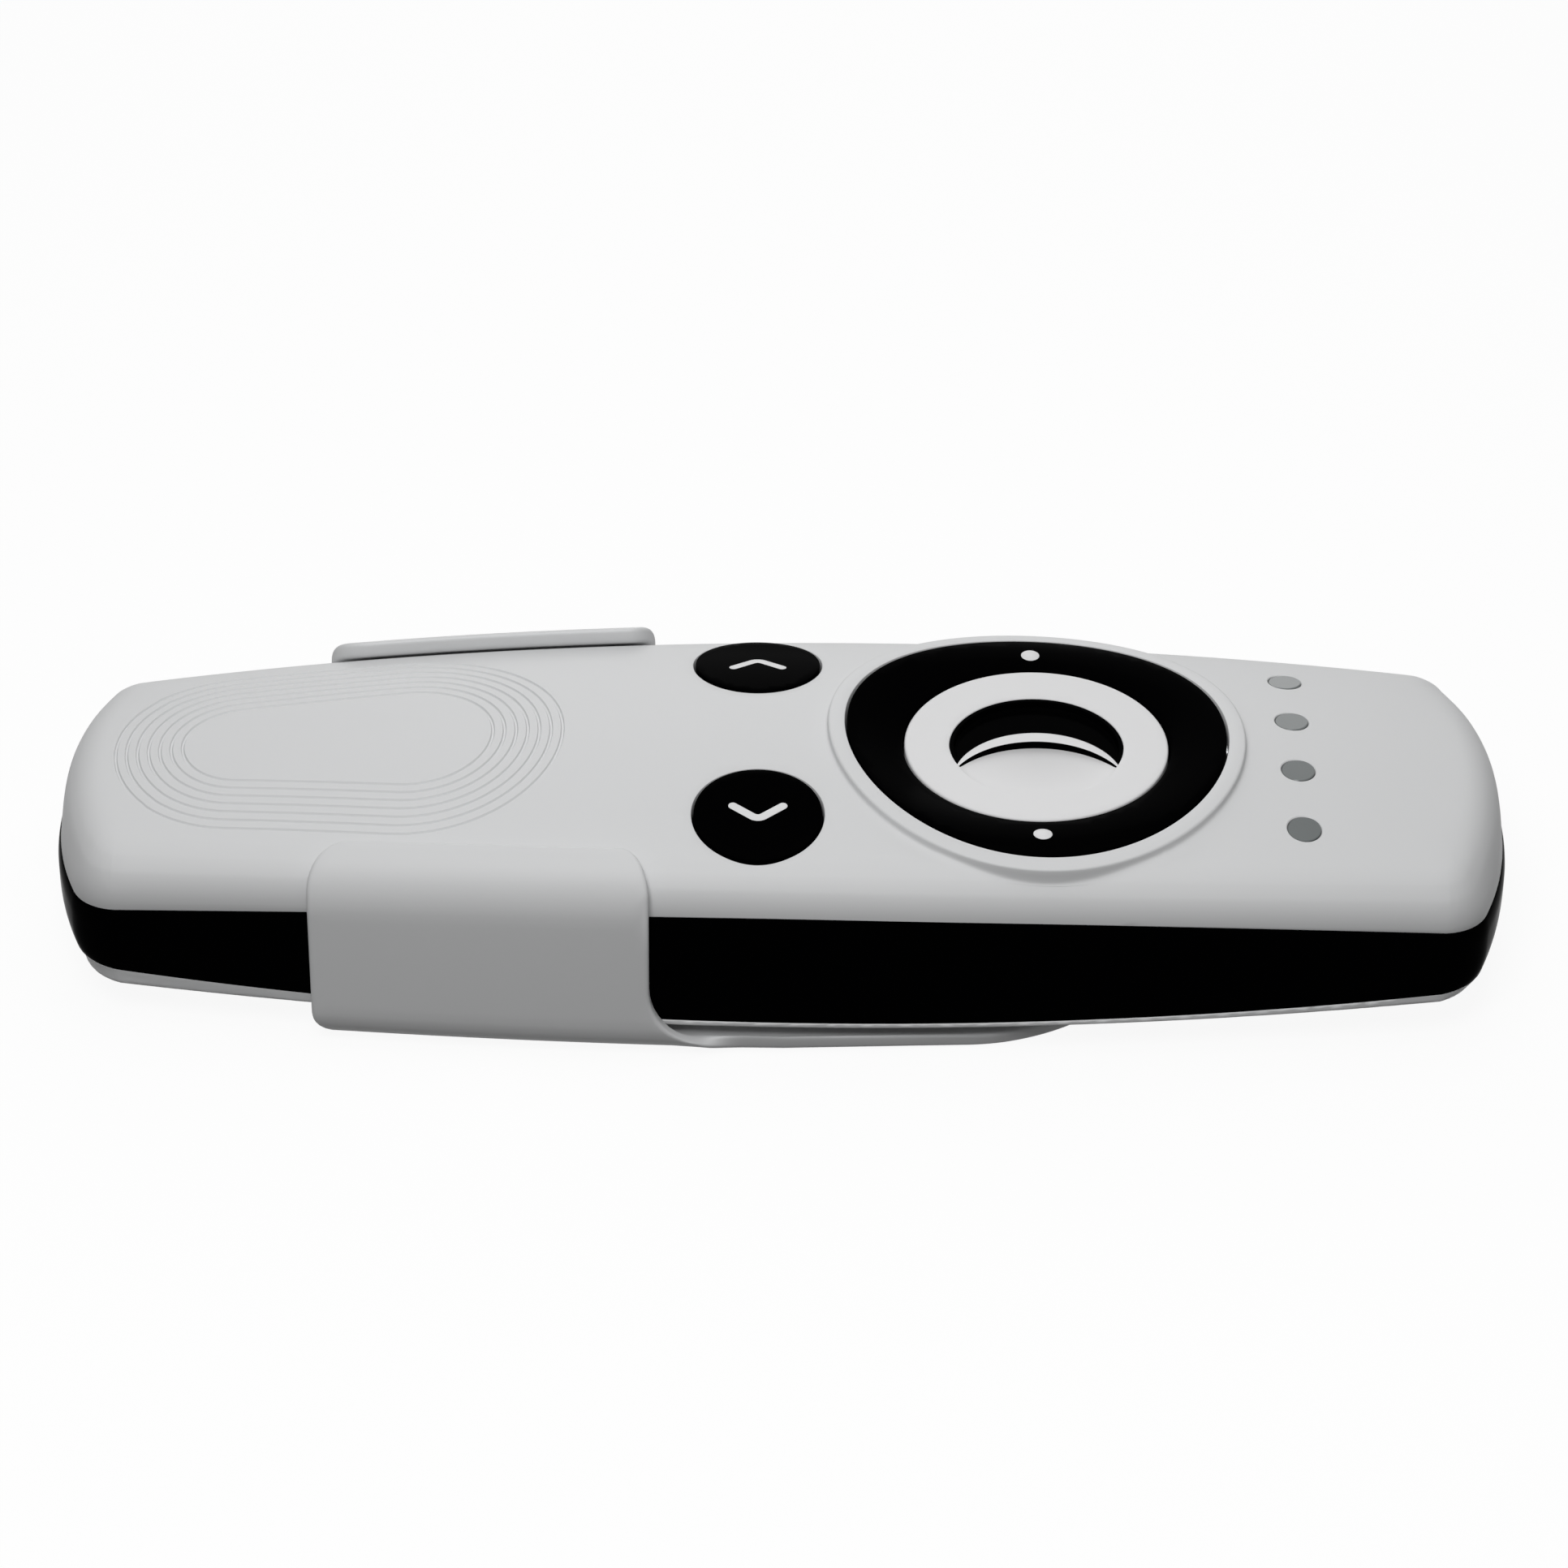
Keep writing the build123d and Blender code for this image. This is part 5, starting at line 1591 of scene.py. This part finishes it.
class REMOTE_OT_screws(PieceMaker, bpy.types.Operator):
    """Make the screws of the case, the circuit board and the dial carrier"""

    bl_idname = "remote.screws"
    bl_label = "Screws"

    def make(self, scene):
        large, small = (2.0 * MM, 1.6 * MM, 1.0 * MM), (1.6 * MM, 1.0 * MM, 0.8 * MM)
        for node, sizes in (("case_screws", large), ("board_screws", small), ("carrier_screws", small)):
            self.screws(node, *sizes)

    def screws(self, node, head, height, shank):
        """One set of pan-head screws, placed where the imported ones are."""
        source = frame["nodes"][node].data
        corners = np.array([tuple(corner.co) for corner in source.vertices])
        one_screw, end_band, head_width = 2.2 * head, 0.7 * height, 1.5 * head
        groups = {}
        for corner in corners:
            near = (place for place in groups if math.dist(place, corner[:2]) < one_screw)
            groups.setdefault(next(near, tuple(corner[:2])), []).append(corner)
        places, lengths = [], []
        for group in groups.values():
            group = np.array(group)
            low, high = group.min(axis=0), group.max(axis=0)
            wide_low = np.ptp(group[group[:, 2] < low[2] + end_band][:, 0]) > head_width
            places.append((*(0.5 * (low + high))[:2], low[2] + height if wide_low else high[2] - height))
            lengths.append(high[2] - low[2] - height)
        tree = PartTree(node, {
            "Head radius": head, "Head height": height, "Shank radius": shank,
            "Length": float(np.mean(lengths)), "Pitch": 0.45 * MM, "Way": 0.0 if wide_low else math.pi,
        })
        given = tree.given
        head_soft, cross_span, cross_width, sides = 0.35, 1.3, 0.24, 18
        cap = tree.disc(given["Head radius"], given["Head height"], given["Head height"] * head_soft, 28)
        bar = given["Head radius"] * cross_span
        slots = [
            tree.node("GeometryNodeMeshCube", None, {"Size": tree.vector(*size, given["Head height"])})
            for size in ((bar, bar * cross_width), (bar * cross_width, bar))
        ]
        cross = {"Mesh 1": cap, "Mesh 2": slots}
        cap = tree.node("GeometryNodeMeshBoolean", {"operation": "DIFFERENCE"}, cross)
        flip = {"Geometry": cap, "Rotation": (math.pi, 0.0, 0.0)}
        cap = tree.node("GeometryNodeTransform", None, flip)
        cap = tree.moved(cap, tree.vector(0.0, 0.0, given["Head height"] * -1.0))
        pitch, length_of, shank_radius = given["Pitch"], given["Length"], given["Shank radius"]
        ridge = {"Vertices": sides, "Radius Top": shank_radius * 0.8, "Radius Bottom": shank_radius}
        ridge = tree.node("GeometryNodeMeshCone", None, {**ridge, "Depth": pitch})
        count = length_of / pitch - 2.0
        thread = {"Count": count, "Offset": tree.vector(0.0, 0.0, pitch)}
        thread = tree.node("GeometryNodeMeshLine", None, thread)
        thread = tree.node("GeometryNodeInstanceOnPoints", None, {"Points": thread, "Instance": ridge})
        ends = {"Radius Top": shank * 0.3, "Radius Bottom": shank_radius * 0.9}
        tip = tree.node("GeometryNodeMeshCone", None, {"Vertices": sides, **ends, "Depth": pitch * 2.0})
        tip = tree.moved(tip, tree.vector(0.0, 0.0, length_of - pitch * 2.0))
        screw = tree.node("GeometryNodeJoinGeometry", None, {"Geometry": [cap, thread, tip]})
        turn = tree.node("FunctionNodeEulerToRotation", None, {0: tree.vector(given["Way"], 0.0, 0.0)})
        row = {"Points": given["Geometry"], "Instance": screw, "Rotation": turn}
        row = tree.node("GeometryNodeInstanceOnPoints", None, row)
        mesh = tree.mesh(node + "_set", row, finish_named("steel"), places)
        made = settle(node + "_set", mesh, frame["nodes"][node]["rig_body"], SLOTS["steel"], sharp=30.0)
        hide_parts(node)


class REMOTE_OT_battery(PieceMaker, bpy.types.Operator):
    """Finish the cells and their contacts"""

    bl_idname = "remote.battery"
    bl_label = "Battery"

    def make(self, scene):
        dressed("battery_cells", "cell")
        for node in ("contact_springs", "contact_plates"):
            dressed(node, "steel")


class REMOTE_OT_electronics(PieceMaker, bpy.types.Operator):
    """Finish the circuit board, what sits on it, and the parts under the keys"""

    bl_idname = "remote.electronics"
    bl_label = "Electronics"

    def make(self, scene):
        finishes = {
            "board": ("circuit_board",),
            "inner_plastic": ("controller_chip", "dial_carrier"),
            "steel": ("radio_module",),
            "lamp": ("led_chips",),
            "silicone": ("keypad_mat",),
        }
        presses = {
            "up_dome": "up_press",
            "down_dome": "down_press",
            "centre_dome": "centre_press",
            "rocker_domes": "rocker_tilt",
        }
        for finish, nodes in finishes.items():
            for node in nodes:
                dressed(node, finish)
        for node, joint in presses.items():
            made = dressed(node, "silicone")
            low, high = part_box(node)
            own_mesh(made)


class REMOTE_OT_studio(PieceMaker, bpy.types.Operator):
    """Set up the pale floor, the soft lights and the camera"""

    bl_idname = "remote.studio"
    bl_label = "Studio"

    def make(self, scene):
        studio = scene.remote_studio
        scene.view_settings.view_transform = "Standard"
        self.camera(scene, studio)
        self.floor()
        self.world(scene, studio)
        self.lamp("key_light", place=(-0.08, -0.42, 0.6), size=0.26, power=studio.key_power)
        self.lamp("top_light", place=(0.0, 0.0, 0.33), size=0.24, power=studio.top_power)
        self.lamp("back_light", place=(0.0, 0.45, 0.22), size=0.3, power=studio.back_power)

    def camera(self, scene, studio):
        """A camera that looks at the middle of the photograph's view."""
        made = bpy.data.cameras.new("camera")
        made.lens, made.sensor_width = studio.lens, FRAME_WIDTH
        camera = added("camera", made)
        up, turn = studio.elevation, studio.azimuth
        back = Vector((math.sin(turn) * math.cos(up), -math.cos(turn) * math.cos(up), math.sin(up)))
        right = Vector((math.cos(turn), math.sin(turn), 0))
        across = math.cos(studio.roll) * right + math.sin(studio.roll) * back.cross(right)
        facing = Matrix((across, back.cross(across), back)).transposed().to_4x4()
        target = Vector((-0.067, -11.428, 28.25)) * MM
        camera.matrix_world = Matrix.Translation(target + studio.distance * back) @ facing
        scene.camera = camera

    def lamp(self, name, place, size, power):
        """A soft square light that faces the remote."""
        made = bpy.data.lights.new(name, "AREA")
        made.size, made.energy = size, power
        lamp = added(name, made)
        lamp.location = place
        lamp.rotation_euler = (-Vector(place)).to_track_quat("-Z", "Y").to_euler()

    def floor(self):
        """A pale floor that shows white and keeps a soft shadow."""
        finish = Finish("pale_floor")
        seen, whiteness, below_holder, size = finish.seen(), 0.92, 0.2 * MM, 3.0
        pale = finish.shades(seen, (0.06, 0.06, 0.06), (1, 1, 1))
        light = finish.node("ShaderNodeBsdfDiffuse", None, {"Color": pale})
        shown = finish.node("ShaderNodeEmission", None, {"Color": (1, 1, 1, 1), "Strength": 1.0})
        share = {"Fac": seen * whiteness, 1: light, 2: shown}
        surface = finish.node("ShaderNodeMixShader", None, share)
        finish.node("ShaderNodeOutputMaterial", None, {"Surface": surface})
        mesh = bpy.data.meshes.new("floor")
        form = bmesh.new()
        bmesh.ops.create_grid(form, x_segments=8, y_segments=8, size=size)
        for corner in form.verts:
            corner.co.z = -below_holder
        form.to_mesh(mesh)
        form.free()
        mesh.materials.append(finish.material)
        floor = added("floor", mesh)

    def world(self, scene, studio):
        """Even light all round, seen as white."""
        world = bpy.data.worlds.new("studio")
        world.use_nodes = True
        sky = Graph(world.node_tree)
        strength = sky.seen() * (1 - studio.sky) + studio.sky
        light = sky.node("ShaderNodeBackground", None, {"Color": (1, 1, 1, 1), "Strength": strength})
        sky.node("ShaderNodeOutputWorld", None, {"Surface": light})
        scene.world = world


# Panel and registration

PIECES = (
    REMOTE_OT_cover,
    REMOTE_OT_band,
    REMOTE_OT_holder,
    REMOTE_OT_underside,
    REMOTE_OT_dial,
    REMOTE_OT_centre_key,
    REMOTE_OT_arrow_keys,
    REMOTE_OT_windows,
    REMOTE_OT_screws,
    REMOTE_OT_battery,
    REMOTE_OT_electronics,
    REMOTE_OT_studio,
)
SETTINGS = (
    ("remote_body", RemoteBodySizes),
    ("remote_dial", RemoteDialSizes),
    ("remote_keys", RemoteKeySizes),
    ("remote_holder", RemoteHolderSizes),
    ("remote_finishes", RemoteFinishes),
    ("remote_studio", RemoteStudio),
)


class REMOTE_PT_panel(bpy.types.Panel):
    """Lists the pieces and their sizes"""

    bl_label = "Remote"
    bl_space_type = "VIEW_3D"
    bl_region_type = "UI"
    bl_category = "Remote"

    def draw(self, context):
        """One button for each piece, then the sizes."""
        for piece in PIECES:
            self.layout.operator(piece.bl_idname)
        for name, kind in SETTINGS:
            group = getattr(context.scene, name)
            part = self.layout.box()
            for size in kind.__annotations__:
                part.prop(group, size)


def register():
    """Makes the classes and settings known to Blender."""
    for name, kind in SETTINGS:
        bpy.utils.register_class(kind)
        setattr(bpy.types.Scene, name, PointerProperty(type=kind))
    for kind in (*PIECES, REMOTE_PT_panel):
        bpy.utils.register_class(kind)


def unregister():
    """Takes them away again."""
    for kind in (REMOTE_PT_panel, *reversed(PIECES)):
        bpy.utils.unregister_class(kind)
    for name, kind in reversed(SETTINGS):
        delattr(bpy.types.Scene, name)
        bpy.utils.unregister_class(kind)


def main():
    """Builds everything."""
    register()
    for piece in PIECES:
        group, name = piece.bl_idname.split(".")
        getattr(getattr(bpy.ops, group), name)()


if __name__ == "__main__":
    main()
